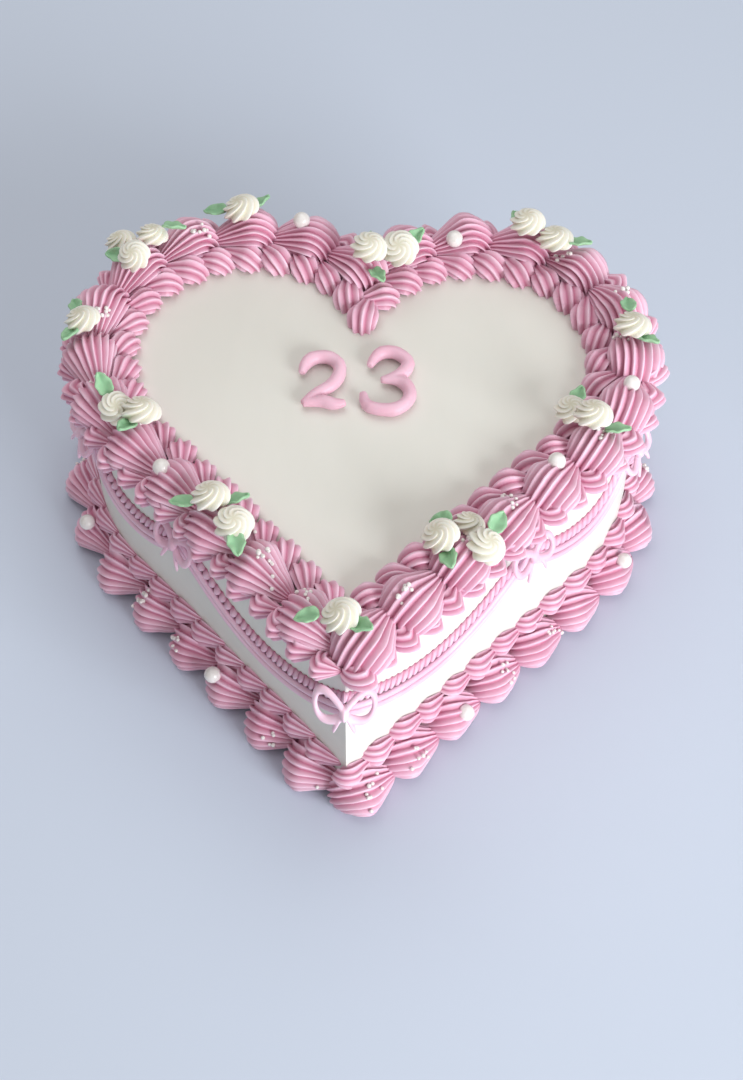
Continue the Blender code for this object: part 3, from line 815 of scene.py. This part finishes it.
@dataclass(frozen=True)
class ShellRow:
    """A row of piped shells along the wall, laid out as one piece or as a right and a left one."""

    names: tuple[str, ...]
    shell: PipedShell
    count: int
    line: float
    height: float
    lean: float
    wobble: float
    # How far tails turn inwards, as (on the right side, on the left side)
    swerves: Span
    # What is drawn for each shell, in order, as (what, least, most); heights are in millimetres
    draws: tuple[tuple[str, float, float], ...]
    spaced_on: float = 0.0
    start: float = 0.0

    def stops(self, plan: HeartPlan) -> list[float]:
        """Return where the shells stand along the wall."""
        return plan.even_steps(self.count, self.spaced_on, self.start)

    def places(self, plan: HeartPlan, draw: random.Random) -> list[Matrix]:
        """Return where the shells are seated, each a little different.

        Args:
            plan: The heart's plan.
            draw: Where the differences are drawn from.

        Returns:
            One matrix for each shell.
        """
        places = []
        for along in self.stops(plan):
            drawn = {what: draw.uniform(least, most) for what, least, most in self.draws}
            height = self.height + drawn.get("height", 0.0) * MM
            point, heading = plan.place(along, self.line, height)
            up = upright(heading, self.lean + drawn.get("lean", 0.0))
            swerve = self.swerves[plan.on_left(along)] + drawn.get("swerve", 0.0)
            places.append(seat(point, heading, up, drawn["size"], swerve))
        return places


@dataclass(frozen=True)
class TopRow(ShellRow):
    """The big shells on the top edge: even steps but for a longer one on each side of the tip."""

    first_tail: float = 20.6 * MM
    tip_step: float = 29.4 * MM
    head_to_tail: float = 12.0 * MM

    def stops(self, plan: HeartPlan) -> list[float]:
        """Return where the shells' heads stand along the wall."""
        step = (plan.total - 2.0 * self.tip_step) / (self.count - 2)
        tails = [self.first_tail + step * i for i in range(self.count - 1)]
        return [tail - self.head_to_tail for tail in (*tails, self.first_tail - self.tip_step)]


@dataclass(frozen=True)
class Border:
    """A piped border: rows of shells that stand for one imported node."""

    node: str
    rows: tuple[ShellRow, ...]

    def build(self, plan: HeartPlan, draw: random.Random, icing: Material) -> list[Object]:
        """Model the border's shells and dress them.

        Args:
            plan: The heart's plan.
            draw: Where the shells' differences are drawn from.
            icing: The pink icing.

        Returns:
            The border's pieces.
        """
        pieces = []
        for row in self.rows:
            master = row.shell.mesh()
            places = row.places(plan, draw)
            cut = row.count // len(row.names)
            for name, share in zip(row.names, (places[:cut], places[cut:])):
                pieces.append(Bench.lay_out(name, master, share, row.wobble))
        for piece in pieces:
            self.flatten_foot(piece)
            dress(piece, icing, (self.node,))
        return pieces

    def flatten_foot(self, piece: Object) -> None:
        """Press what would sink below the ground flat onto it."""
        for vert in piece.data.vertices:
            vert.co.z = max(vert.co.z, 0.0)


TOP_BORDER = Border("top_border", (
    TopRow(
        names=("top_shells_right", "top_shells_left"),
        shell=PipedShell(12.6 * MM, 16.0 * MM, 13.4 * MM, 20.0 * MM, ridges=18),
        count=26, line=-4.6 * MM, height=HeartPlan.height - 0.8 * MM, lean=math.radians(15.0),
        wobble=0.5 * MM, swerves=(math.radians(9.0), math.radians(9.0)),
        draws=(("size", 0.96, 1.04), ("swerve", -0.07, 0.07)),
    ),
    ShellRow(
        names=("inner_shells",),
        shell=PipedShell(7.0 * MM, 9.4 * MM, 8.6 * MM, 14.0 * MM, ridges=9, groove=0.42, head_steps=5),
        count=48, line=-15.5 * MM, height=HeartPlan.height - 0.6 * MM, lean=math.radians(-10.0),
        wobble=0.35 * MM, swerves=(math.radians(-34.0), math.radians(-34.0)),
        draws=(("lean", -0.1, 0.1), ("swerve", -0.12, 0.12), ("size", 0.92, 1.07)),
        spaced_on=-15.5 * MM,
    ),
    ShellRow(
        names=("drop_shells",),
        shell=PipedShell(5.8 * MM, 12.6 * MM, 5.6 * MM, 8.0 * MM, ridges=9, pinch=0.7, head_steps=5),
        count=60, line=-1.0 * MM, height=85.5 * MM, lean=math.radians(84.0),
        wobble=0.35 * MM, swerves=(0.2, 0.2),
        draws=(("height", -0.8, 0.8), ("size", 0.92, 1.06)),
        start=4.0 * MM,
    ),
))
BASE_BORDER = Border("base_border", (
    ShellRow(
        names=("base_shells_right", "base_shells_left"),
        shell=PipedShell(12.0 * MM, 14.6 * MM, 12.8 * MM, 19.0 * MM, ridges=18, pinch=0.56),
        count=29, line=1.6 * MM, height=3.5 * MM, lean=math.radians(42.0),
        wobble=0.5 * MM, swerves=(math.radians(-22.0), math.radians(14.0)),
        draws=(("size", 0.95, 1.05), ("swerve", -0.08, 0.08)),
        spaced_on=7.5 * MM, start=6.0 * MM,
    ),
    ShellRow(
        names=("wall_shells",),
        shell=PipedShell(6.5 * MM, 7.4 * MM, 7.2 * MM, 15.0 * MM, ridges=9, pinch=0.5, head_steps=5),
        count=48, line=-0.8 * MM, height=16.5 * MM, lean=math.radians(82.0),
        wobble=0.35 * MM, swerves=(-0.25, 0.3),
        draws=(("height", -0.8, 0.8), ("size", 0.93, 1.07)),
    ),
))


@dataclass
class Garland:
    """The garland on the wall: a pleated ruffle over two strings, in drapes between bows."""

    plan: HeartPlan
    top: float = 75.0 * MM
    sag: float = 22.0 * MM
    widest: float = 95.5 * MM
    pleats: int = 220
    ruffle_height: float = 5.0 * MM
    # Strings as (drop below the top edge, reach from the wall, half thickness) in millimetres
    strings: tuple[Place, ...] = ((6.5, 1.7, 1.3), (10.4, 1.8, 1.35))
    string_points: int = 280
    zigzag: Place = (8.5, 0.7, 0.55)
    zigzag_points: int = 480
    zigzag_swing: float = 0.8
    # How much painted shade the zigzag gets, as it lies back between the strings
    zigzag_shade: float = 0.5
    # The pleats: how far they slant, stray and ripple, and how far out they lie and swing in millimetres
    slant: float = 0.8
    stray: float = 1.5
    ripple: float = 0.3
    out: float = 1.1
    swing: float = 0.8
    thickness: float = 0.9 * MM

    def hang(self, along: float) -> float:
        """Return the height of the garland's top edge: between two joints it hangs like a chain."""
        stops = [*self.plan.joints, self.plan.total]
        start, end = next((a, b) for a, b in zip(stops, stops[1:]) if along <= b)
        share = (along - start) / (end - start)
        sag = self.sag * math.sqrt((end - start) / self.widest)
        return self.top - sag * (1.0 - (2.0 * share - 1.0) ** 2)

    def ruffle(self) -> Object:
        """Return the pleated band, modelled flat and wrapped on the wall, with painted shade in its notches
        and where it meets the wall.
        """
        Bench.clear()
        bpy.ops.mesh.primitive_grid_add(x_subdivisions=6 * self.pleats, y_subdivisions=6, size=1.0)
        band = bpy.context.object
        shade_amounts = []
        for vert in band.data.vertices:
            across = vert.co.x + 0.5
            down = 0.5 - vert.co.y
            drift = self.stray * noise.noise(Vector((across * 60.0, 0.0, 0.0)))
            phase = math.tau * (across * self.pleats + self.slant * down) + drift
            wave = math.sin(phase) + self.ripple * math.sin(2.0 * phase + 1.0)
            along = across * self.plan.total
            swell = math.sin(math.pi * min(1.0, 0.9 * down))
            out = (self.out + self.swing * wave) * swell * MM
            drop = self.ruffle_height * down + 0.5 * MM * wave * (1.0 - down)
            vert.co = self.plan.place(along, out, self.hang(along) - drop)[0]
            # Painted shade: darkest in the notches between pleats and towards the edges, where the band lies
            # against the wall
            shade_amounts.append(min(1.0, max(0.0, 0.45 - 0.45 * wave + 0.4 * (1.0 - swell))))
        Bench.mark_painted_shade(band, shade_amounts)
        Bench.thicken(band, self.thickness, 0.05 * MM)
        bpy.ops.object.shade_smooth()
        return band

    def string(self, drop: float, out: float, radius: float, swing: float = 0.0) -> Object:
        """Return one string along the drapes, with every length in millimetres.

        Args:
            drop: How far it hangs below the top edge.
            out: How far its middle is from the wall.
            radius: Its half thickness.
            swing: How far it zigzags up and down.

        Returns:
            The string's object.
        """
        count = self.zigzag_points if swing else self.string_points
        points = []
        for i in range(count):
            along = self.plan.total * i / count
            sway = 0.25 * MM * noise.noise(Vector((along * 60.0, drop, 0.0)))
            sway += swing * MM * SIDES[i % 2]
            points.append(self.plan.place(along, out * MM, self.hang(along) - drop * MM + sway)[0])
        return Bench.rope("string", points, radius * MM, closed=True, rounds=2 if swing else 3)

    def build(self, icing: Material) -> None:
        """Model the garland and dress it."""
        things = [self.ruffle(), *(self.string(*string) for string in self.strings)]
        zigzag = self.string(*self.zigzag, swing=self.zigzag_swing)
        # The whole zigzag gets painted shade, as it lies back between the strings
        Bench.mark_painted_shade(zigzag, [self.zigzag_shade] * len(zigzag.data.vertices))
        dress(Bench.join("garland_ruffle", [*things, zigzag]), icing, ("garland",))


@dataclass
class Bow:
    """A piped bow: two open loops, a knot and two short tails."""

    plan: HeartPlan
    draw: random.Random
    height: float = 72.5 * MM
    tip_height: float = 75.0 * MM
    out: float = 4.4 * MM
    reach: float = 9.8 * MM
    tip_reach: float = 12.8 * MM
    loop_high: float = 0.56
    rope: float = 1.25 * MM
    tail: float = 8.5 * MM
    lean: float = 0.45
    tip_blend: float = 0.5
    tip_out: float = 1.4
    loop_points: int = 14

    def half(self, side: float, reach: float) -> list[Object]:
        """Return the loop and the tail of one side, piped flat in the plane z = 0.

        Args:
            side: -1 for the left side and 1 for the right one.
            reach: How far the loop reaches.

        Returns:
            The two ropes.
        """
        loop = []
        for i in range(self.loop_points):
            turn = math.tau * i / self.loop_points
            across = side * reach * (0.5 - 0.5 * math.cos(turn))
            rise = self.loop_high * math.sin(turn) * (0.45 * reach + 0.45 * abs(across))
            wave = 0.3 * self.rope * math.sin(2.0 * turn)
            loop.append(Vector((across, rise + 0.05 * abs(across), wave)))
        ring = Bench.rope("loop", loop, self.rope, closed=True)
        bend = self.draw.uniform(-1.0, 1.0) * MM
        tail = [
            Vector((side * 0.8 * MM, -0.3 * MM, 0.0)),
            Vector((side * 3.4 * MM + bend, -0.45 * self.tail, 0.5 * MM)),
            Vector((side * 4.6 * MM, -self.tail, -0.6 * MM)),
        ]
        return [ring, Bench.rope("tail", tail, 0.95 * self.rope, closed=False)]

    def knot(self) -> Object:
        """Return the knot, a ball a little taller than deep."""
        Bench.clear()
        bpy.ops.mesh.primitive_uv_sphere_add(segments=16, ring_count=10, radius=1.75 * self.rope)
        knot = bpy.context.object
        Bench.edit()
        bpy.ops.mesh.select_all(action="SELECT")
        Bench.stretch(1.0, 1.15, 0.85)
        bpy.ops.transform.translate(value=(0.0, 0.3 * MM, 0.4 * MM))
        Bench.leave_edit()
        return knot

    def build(self, number: int, icing: Material) -> None:
        """Model the bow at one joint of the garland and dress it.

        Args:
            number: Which of the bows it is, counted from the tip.
            icing: The pink icing.
        """
        at_tip = number == 1
        reach = self.tip_reach if at_tip else self.reach
        height = self.tip_height if at_tip else self.height
        ropes = [rope for side in SIDES for rope in self.half(side, reach)]
        piece = Bench.join(f"bow_{number}_piped", [*ropes, self.knot()])
        Bench.melt(piece, 0.32 * MM, 4)
        middle = self.plan.joints[number - 1]
        tip = self.plan.place(0.0, 0.0)[0]
        stand = (self.tip_out if at_tip else 1.0) * self.out
        for vert in piece.data.vertices:
            out = stand + self.rope + vert.co.z - self.lean * vert.co.y
            point, _ = self.plan.place(middle + vert.co.x, out)
            if at_tip:
                facing_front = tip + Vector((vert.co.x, -out, 0.0))
                point = point.lerp(facing_front, self.tip_blend)
            vert.co = (point.x, point.y, height + vert.co.y + self.plan.shift.z)
        dress(piece, icing, (f"bow_{number}",))


@dataclass
class PipedNumber:
    """The number on top, each digit from thick strokes that melt together."""

    plan: HeartPlan
    rope: float = 2.7 * MM
    ripple: float = 160.0
    two: Strokes = (
        (
            (-23.2, 136.6), (-22.6, 143.0), (-14.5, 146.6), (-7.6, 141.6), (-9.6, 131.8), (-17.0, 127.0),
            (-22.3, 121.5),
        ),
        ((-22.3, 121.5), (-15.1, 123.8), (-9.6, 121.2), (-5.6, 122.6)),
    )
    three: Strokes = (
        ((3.0, 141.4), (4.8, 147.8), (12.6, 149.8), (19.6, 143.6), (14.6, 136.0), (7.6, 134.6)),
        ((7.8, 134.8), (15.6, 135.8), (20.4, 128.6), (16.6, 120.8), (9.0, 119.2), (1.2, 121.6), (1.0, 127.8)),
    )

    def digit(self, name: str, strokes: Strokes, node: str, icing: Material) -> None:
        """Model one digit and dress it.

        Args:
            name: The piece's name.
            strokes: Its strokes, as places on the top in millimetres.
            node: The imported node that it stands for.
            icing: The pink icing.
        """
        level = self.plan.height + self.rope
        ropes = []
        for stroke in strokes:
            points = [Vector((x * MM, y * MM, level)) + self.plan.shift for x, y in stroke]
            ropes.append(Bench.rope("stroke", points, self.rope, closed=False, rounds=5))
        piece = Bench.join(name, ropes)
        Bench.melt(piece, 0.5 * MM, 6)
        for vert in piece.data.vertices:
            vert.co += noise.noise_vector(vert.co * self.ripple) * 0.35 * MM
        dress(piece, icing, (node,))

    def build(self, icing: Material) -> None:
        """Model both digits."""
        self.digit("number_two", self.two, "digit_two", icing)
        self.digit("number_three", self.three, "digit_three", icing)


def lie_of(node: str) -> tuple[Vector, Vector, Vector]:
    """Return how a flat topping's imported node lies.

    Args:
        node: The node's name.

    Returns:
        The middle of its seat, its normal, and its size along (long, short, normal).
    """
    verts = np.array([v.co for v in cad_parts[node].data.vertices], float)
    _, vectors = np.linalg.eigh(np.cov((verts - verts.mean(0)).T))
    normal = Vector(vectors[:, 0])
    if normal.z < 0.0:
        normal = -normal
    long = Vector(vectors[:, 2])
    short = normal.cross(long)
    spans = [verts @ np.array(way) for way in (long, short, normal)]
    size = Vector([float(s.max() - s.min()) for s in spans])
    centre = Vector([float((s.max() + s.min()) / 2.0) for s in spans])
    foot = long * centre.x + short * centre.y + normal * float(spans[2].min())
    return foot, normal, size


def middle_of(node: str) -> Vector:
    """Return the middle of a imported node's box."""
    low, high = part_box(node)
    return (low + high) / 2.0


def rosette_hearts() -> list[Vector]:
    """Return the middle of every rosette's node."""
    return [middle_of(f"rose_{i:02d}") for i in range(1, ROSETTE_COUNT + 1)]


def press_together(heart: Vector, hearts: list[Vector]) -> Vector:
    """Return how far a rosette is pressed towards the others of its cluster.

    Args:
        heart: The rosette's middle.
        hearts: The middles of all rosettes.

    Returns:
        The level shift, zero for a rosette that stands alone.
    """
    cluster = [other for other in hearts if (other - heart).length < CLUSTER_REACH]
    shift = CLUSTER_PRESS * (sum(cluster, Vector()) / len(cluster) - heart)
    return Vector((shift.x, shift.y, 0.0))


@dataclass
class Rosettes:
    """Swirled drop flowers, all from one master."""

    draw: random.Random
    lobes: int = 7
    groove: float = 0.34
    widen: float = 1.1
    # Rings as (height, width, turn in degrees), the height and width as shares of the flower's own
    rings: tuple[Place, ...] = (
        (0.0, 0.86, 0.0), (0.12, 1.05, 6.0), (0.3, 1.14, 14.0), (0.5, 1.1, 20.0), (0.68, 0.97, 26.0),
        (0.82, 0.78, 34.0), (0.9, 0.54, 44.0), (0.92, 0.28, 56.0),
    )

    def master(self) -> Mesh:
        """Model a flower of radius 1 and height 1."""
        flower = Bench.star(self.lobes, self.groove)
        Bench.stretch(self.rings[0][1], self.rings[0][1], 1.0)
        for (height, width, _), (next_height, next_width, turn) in zip(self.rings, self.rings[1:]):
            Bench.pull(0.0, 0.0, next_height - height)
            Bench.turn(math.radians(turn), Axis.Z)
            Bench.stretch(next_width / width, next_width / width, 1.0)
        return Bench.close_up(flower, levels=1)

    def build(self, icing: Material) -> None:
        """Set a flower on every rosette's node."""
        master = self.master()
        hearts = rosette_hearts()
        for i, heart in enumerate(hearts, start=1):
            foot, normal, size = lie_of(f"rose_{i:02d}")
            width = 0.5 * (size.x + size.y) / 2.0 * self.widen
            turn = Matrix.Rotation(self.draw.uniform(0.0, math.tau), 4, "Z")
            stand = normal.to_track_quat("Z", "Y").to_matrix().to_4x4()
            scale = Matrix.Diagonal((width, width, size.z, 1.0))
            matrix = Matrix.Translation(foot + press_together(heart, hearts)) @ stand @ turn @ scale
            piece = Bench.lay_out(f"rosette_{i:02d}", master, [matrix], 0.25 * MM)
            dress(piece, icing, (f"rose_{i:02d}",))


@dataclass
class Leaves:
    """Small piped leaves: a folded blade with a wavy edge and a lifted tip."""

    count: int = 25
    thickness: float = 1.0 * MM
    # How much longer and wider than its node a blade is, and how high it rises
    longer: float = 1.02
    wider: float = 1.1
    height: float = 2.4 * MM
    tuck: float = 2.0 * MM
    steepest: float = 0.7

    def master(self) -> Mesh:
        """Model a blade from x = -0.5 to 0.5, 1 wide and 1 high."""
        Bench.clear()
        bpy.ops.mesh.primitive_grid_add(x_subdivisions=10, y_subdivisions=6, size=1.0)
        blade = bpy.context.object
        for vert in blade.data.vertices:
            along = vert.co.x + 0.5
            side = vert.co.y * 2.0
            swell = math.sin(math.pi * min(1.0, 0.1 + 0.9 * along ** 0.8)) ** 0.7
            half = 0.5 * swell * (1.0 + 0.1 * math.sin(5.0 * math.pi * along))
            fold = 0.75 * abs(side) ** 1.3 * (0.4 + swell * 0.6)
            wave = 0.16 * math.sin(4.0 * math.pi * along + 1.2 * side) * abs(side)
            vert.co = (vert.co.x, side * half, fold + wave + 0.35 * along ** 3 - 0.2)
        return Bench.take_mesh(blade)

    def build(self, icing: Material) -> None:
        """Lay a blade on every leaf's node, its heel towards the nearest rosette."""
        master = self.master()
        hearts = rosette_hearts()
        for i in range(1, self.count + 1):
            node = f"leaf_{i:02d}"
            _, normal, size = lie_of(node)
            middle = middle_of(node)
            near = min(hearts, key=lambda heart: (heart - middle).length)
            normal = normal if normal.z > self.steepest else RISE
            along = middle - near
            along = (along - normal * along.dot(normal)).normalized()
            turn = Matrix((along, normal.cross(along), normal)).transposed().to_4x4()
            lift = Matrix.Translation(middle - along * self.tuck + press_together(near, hearts))
            short, long = sorted((size.x, size.y))
            scale = Matrix.Diagonal((self.longer * long, self.wider * short, self.height, 1.0))
            piece = Bench.lay_out(f"{node}_piped", master, [lift @ turn @ scale], 0.15 * MM)
            Bench.thicken(piece, self.thickness, 0.02 * MM)
            Bench.smooth(piece, 1)
            dress(piece, icing, (node,))


@dataclass
class SugarBalls:
    """Pearls and nonpareils scattered on the borders."""

    plan: HeartPlan
    draw: random.Random
    # Pearls as (along, offset, radius) in millimetres
    pearls: tuple[Place, ...] = (
        (-307, -2, 3.5), (294, -9, 3.5), (169, -3, 3.3), (117, -7, 3.5), (-109, -3, 3.4),
        (-158, 9, 3.3), (-74, 10, 3.4), (61, 11, 3.4), (149, 10, 3.3), (245, 10, 3.4), (-235, 10, 3.4),
    )
    # Clusters of nonpareils as (along, offset, how many)
    clusters: tuple[tuple[float, float, int], ...] = (
        (-47, -5, 8), (-24, -9, 6), (30, -5, 7), (91, -8, 7), (218, 0, 5), (-165, -4, 5), (-62, -12, 6),
        (-130, -8, 5), (66, -4, 4), (140, -4, 5), (195, -8, 5), (-200, -6, 5), (250, -6, 5), (-260, -6, 5),
        (-190, 8, 5), (-118, 9, 6), (-40, 10, 6), (14, 10, 6), (110, 9, 5), (196, 9, 5), (300, 9, 4),
        (-290, 9, 4), (85, 10, 5), (38, 12, 5), (-95, 11, 5), (-15, 12, 5),
    )
    small: float = 0.85 * MM
    crowd: float = 1.5
    scatter: Span = (2.3, 1.8)
    # Balls further out than the reach of the top border drop from under it, the others from above the cake
    top_reach: float = 5.0
    top_drop: float = 150.0 * MM
    foot_drop: float = 60.0 * MM

    def land(self, tree: BVHTree, along: float, offset: float) -> Vector | None:
        """Return where a ball dropped at a place comes to lie."""
        height = self.foot_drop if offset > self.top_reach else self.top_drop
        point, _ = self.plan.place(along * MM, offset * MM, height)
        return tree.ray_cast(point, FALL)[0]

    @staticmethod
    def set_down(hit: Vector, rise: float, radius: float) -> Matrix:
        """Return the matrix of a ball whose middle lies above a point of the icing."""
        return Matrix.Translation(hit + RISE * rise) @ Matrix.Scale(radius, 4)

    def pearl_places(self, tree: BVHTree) -> list[Matrix]:
        """Return where the pearls lie."""
        places = []
        for along, offset, radius in self.pearls:
            hit = self.land(tree, along, offset)
            if hit is not None:
                places.append(self.set_down(hit, 0.45 * radius * MM, radius * MM))
        return places

    def nonpareil_places(self, tree: BVHTree) -> list[Matrix]:
        """Return where the tiny balls lie."""
        places = []
        for along, offset, count in self.clusters:
            for _ in range(round(self.crowd * count)):
                stray = [self.draw.gauss(0.0, spread) for spread in self.scatter]
                hit = self.land(tree, along + stray[0], offset + stray[1])
                if hit is not None:
                    radius = self.small * self.draw.uniform(0.8, 1.2)
                    places.append(self.set_down(hit, 0.55 * radius, radius))
        return places

    def build(self, tree: BVHTree, finish: PearlFinish) -> None:
        """Scatter the balls and dress them.

        Args:
            tree: The borders' surface.
            finish: The pearly sugar finish.
        """
        material = finish.material()
        sorts = (
            ("pearls", 3, self.pearl_places(tree), 0.05 * MM),
            ("nonpareils", 2, self.nonpareil_places(tree), 0.02 * MM),
        )
        for name, fineness, places, wobble in sorts:
            Bench.clear()
            bpy.ops.mesh.primitive_ico_sphere_add(subdivisions=fineness, radius=1.0)
            ball = bpy.context.object
            Bench.smooth(ball, 0)
            dress(Bench.lay_out(name, Bench.take_mesh(ball), places, wobble), material, ())


@dataclass
class Studio:
    """The camera, the soft lights and the plain floor."""

    plan: HeartPlan
    image: tuple[int, int] = (743, 1080)
    sensor: float = 36.0
    focal_pixels: float = 2250.0
    pitch: float = 0.949
    yaw: float = 0.0334
    roll: float = 0.0072
    eye: Place = (23.2405, -426.0722, 764.3334)
    floor_size: float = 6.0
    floor_height: float = -0.2 * MM
    floor_colour: Colour = (0.585, 0.66, 0.78, 1.0)
    aim: Place = (0.0, 0.0, 0.04)
    # Lights as (name, place, length of a side, power in watts, colour)
    lights: tuple[tuple[str, Place, float, float, Place], ...] = (
        ("window", (1.08, -1.1, 0.56), 0.9, 28.5, (0.965, 0.98, 1.0)),
        ("ceiling", (-0.2, 0.7, 1.6), 1.6, 11.5, (0.98, 0.99, 1.0)),
    )
    room_colour: Colour = (1.0, 0.945, 0.915, 1.0)
    room_strength: float = 0.39

    def camera(self) -> None:
        """Set the camera where the photograph was taken from."""
        lens = bpy.data.cameras.new("photo_camera")
        lens.sensor_width = self.sensor
        lens.lens = self.focal_pixels / self.image[1] * lens.sensor_width
        back = Vector((0.0, -math.cos(self.pitch), math.sin(self.pitch)))
        up = Vector((0.0, math.sin(self.pitch), math.cos(self.pitch)))
        right = Vector((1.0, 0.0, 0.0))
        turn = Matrix.Rotation(self.yaw, 3, "Z")
        back, up, right = turn @ back, turn @ up, turn @ right
        c, s = math.cos(self.roll), math.sin(self.roll)
        up, right = c * up - s * right, c * right + s * up
        stand = Matrix((right, up, back)).transposed().to_4x4()
        stand.translation = Vector(self.eye) * MM + self.plan.shift
        holder = bpy.data.objects.new("photo_camera", lens)
        holder.matrix_world = stand
        bpy.context.scene.collection.objects.link(holder)
        bpy.context.scene.camera = holder

    def softbox(self, name: str, place: Place, size: float, power: float, tint: Place) -> None:
        """Hang a square light that looks at the cake.

        Args:
            name: The light's name.
            place: Where it hangs.
            size: The length of its side.
            power: Its power in watts.
            tint: Its colour.
        """
        lamp = bpy.data.lights.new(name, "AREA")
        lamp.size = size
        lamp.energy = power
        lamp.color = tint
        holder = bpy.data.objects.new(name, lamp)
        aim = Vector(self.aim) - Vector(place)
        holder.location = place
        holder.rotation_euler = aim.to_track_quat("-Z", "Y").to_euler()
        bpy.context.scene.collection.objects.link(holder)

    def build(self) -> None:
        """Set up the studio."""
        self.camera()
        Bench.clear()
        bpy.ops.mesh.primitive_plane_add(size=self.floor_size, location=(0.0, 0.0, self.floor_height))
        floor = bpy.context.object
        floor.name = "studio_floor"
        floor.data.materials.append(StudioFloorFinish("pale_floor", self.floor_colour).material())
        for light in self.lights:
            self.softbox(*light)
        world = bpy.data.worlds.new("soft_room")
        world.use_nodes = True
        sky = world.node_tree.nodes["Background"]
        sky.inputs["Color"].default_value = self.room_colour
        sky.inputs["Strength"].default_value = self.room_strength
        bpy.context.scene.world = world
        bpy.context.scene.view_settings.view_transform = "Standard"


# Each buttercream gives its crest colour, its painted shade for grooves and creases, and its blotch colour.
# The pink crest is set lighter than the icing itself to stand for the highlights on the crests, so it is
# partly painted highlight.
PINK_ICING = ButtercreamFinish(
    "pink_buttercream", (0.90, 0.645, 0.775, 1.0), (0.55, 0.17, 0.28, 1.0), (0.85, 0.54, 0.68, 1.0)
)
NUMBER_ICING = ButtercreamFinish(
    "pale_pink_buttercream", (0.86, 0.56, 0.68, 1.0), (0.56, 0.20, 0.32, 1.0), (0.83, 0.50, 0.62, 1.0)
)
IVORY_ICING = ButtercreamFinish(
    "ivory_buttercream", (0.93, 0.925, 0.86, 1.0), (0.70, 0.67, 0.52, 1.0), (0.91, 0.90, 0.83, 1.0)
)
GREEN_ICING = ButtercreamFinish(
    "green_buttercream", (0.36, 0.62, 0.38, 1.0), (0.20, 0.44, 0.24, 1.0), (0.32, 0.58, 0.35, 1.0)
)
WHITE_ICING = SmoothedIcingFinish("white_coat", (0.80, 0.80, 0.74, 1.0), (0.76, 0.76, 0.70, 1.0))
PEARL_SUGAR = PearlFinish("pearl_sugar", (0.88, 0.86, 0.84, 1.0), (0.80, 0.77, 0.74, 1.0))


def surface_of(pieces: list[Object]) -> BVHTree:
    """Return a search tree over several pieces' surfaces."""
    verts: list[Vector] = []
    faces: list[list[int]] = []
    for piece in pieces:
        first = len(verts)
        verts += [v.co.copy() for v in piece.data.vertices]
        faces += [[first + i for i in face.vertices] for face in piece.data.polygons]
    return BVHTree.FromPolygons(verts, faces)


def main() -> None:
    """Build every sub-assembly in order."""
    logging.basicConfig(level=logging.INFO, format="%(name)s %(message)s")
    plan = plan_on_model()
    draw = random.Random(23)
    # The wander of a hand-piped surface is the same each run
    noise.seed_set(23)
    Studio(plan).build()
    CakeCoat(plan, WHITE_ICING).build()
    pink = PINK_ICING.material()
    borders = [piece for border in (TOP_BORDER, BASE_BORDER) for piece in border.build(plan, draw, pink)]
    Garland(plan).build(pink)
    for number in range(1, len(plan.joints) + 1):
        Bow(plan, draw).build(number, pink)
    PipedNumber(plan).build(NUMBER_ICING.material())
    Rosettes(draw).build(IVORY_ICING.material())
    Leaves().build(GREEN_ICING.material())
    SugarBalls(plan, draw).build(surface_of(borders), PEARL_SUGAR)


if __name__ == "__main__":
    main()
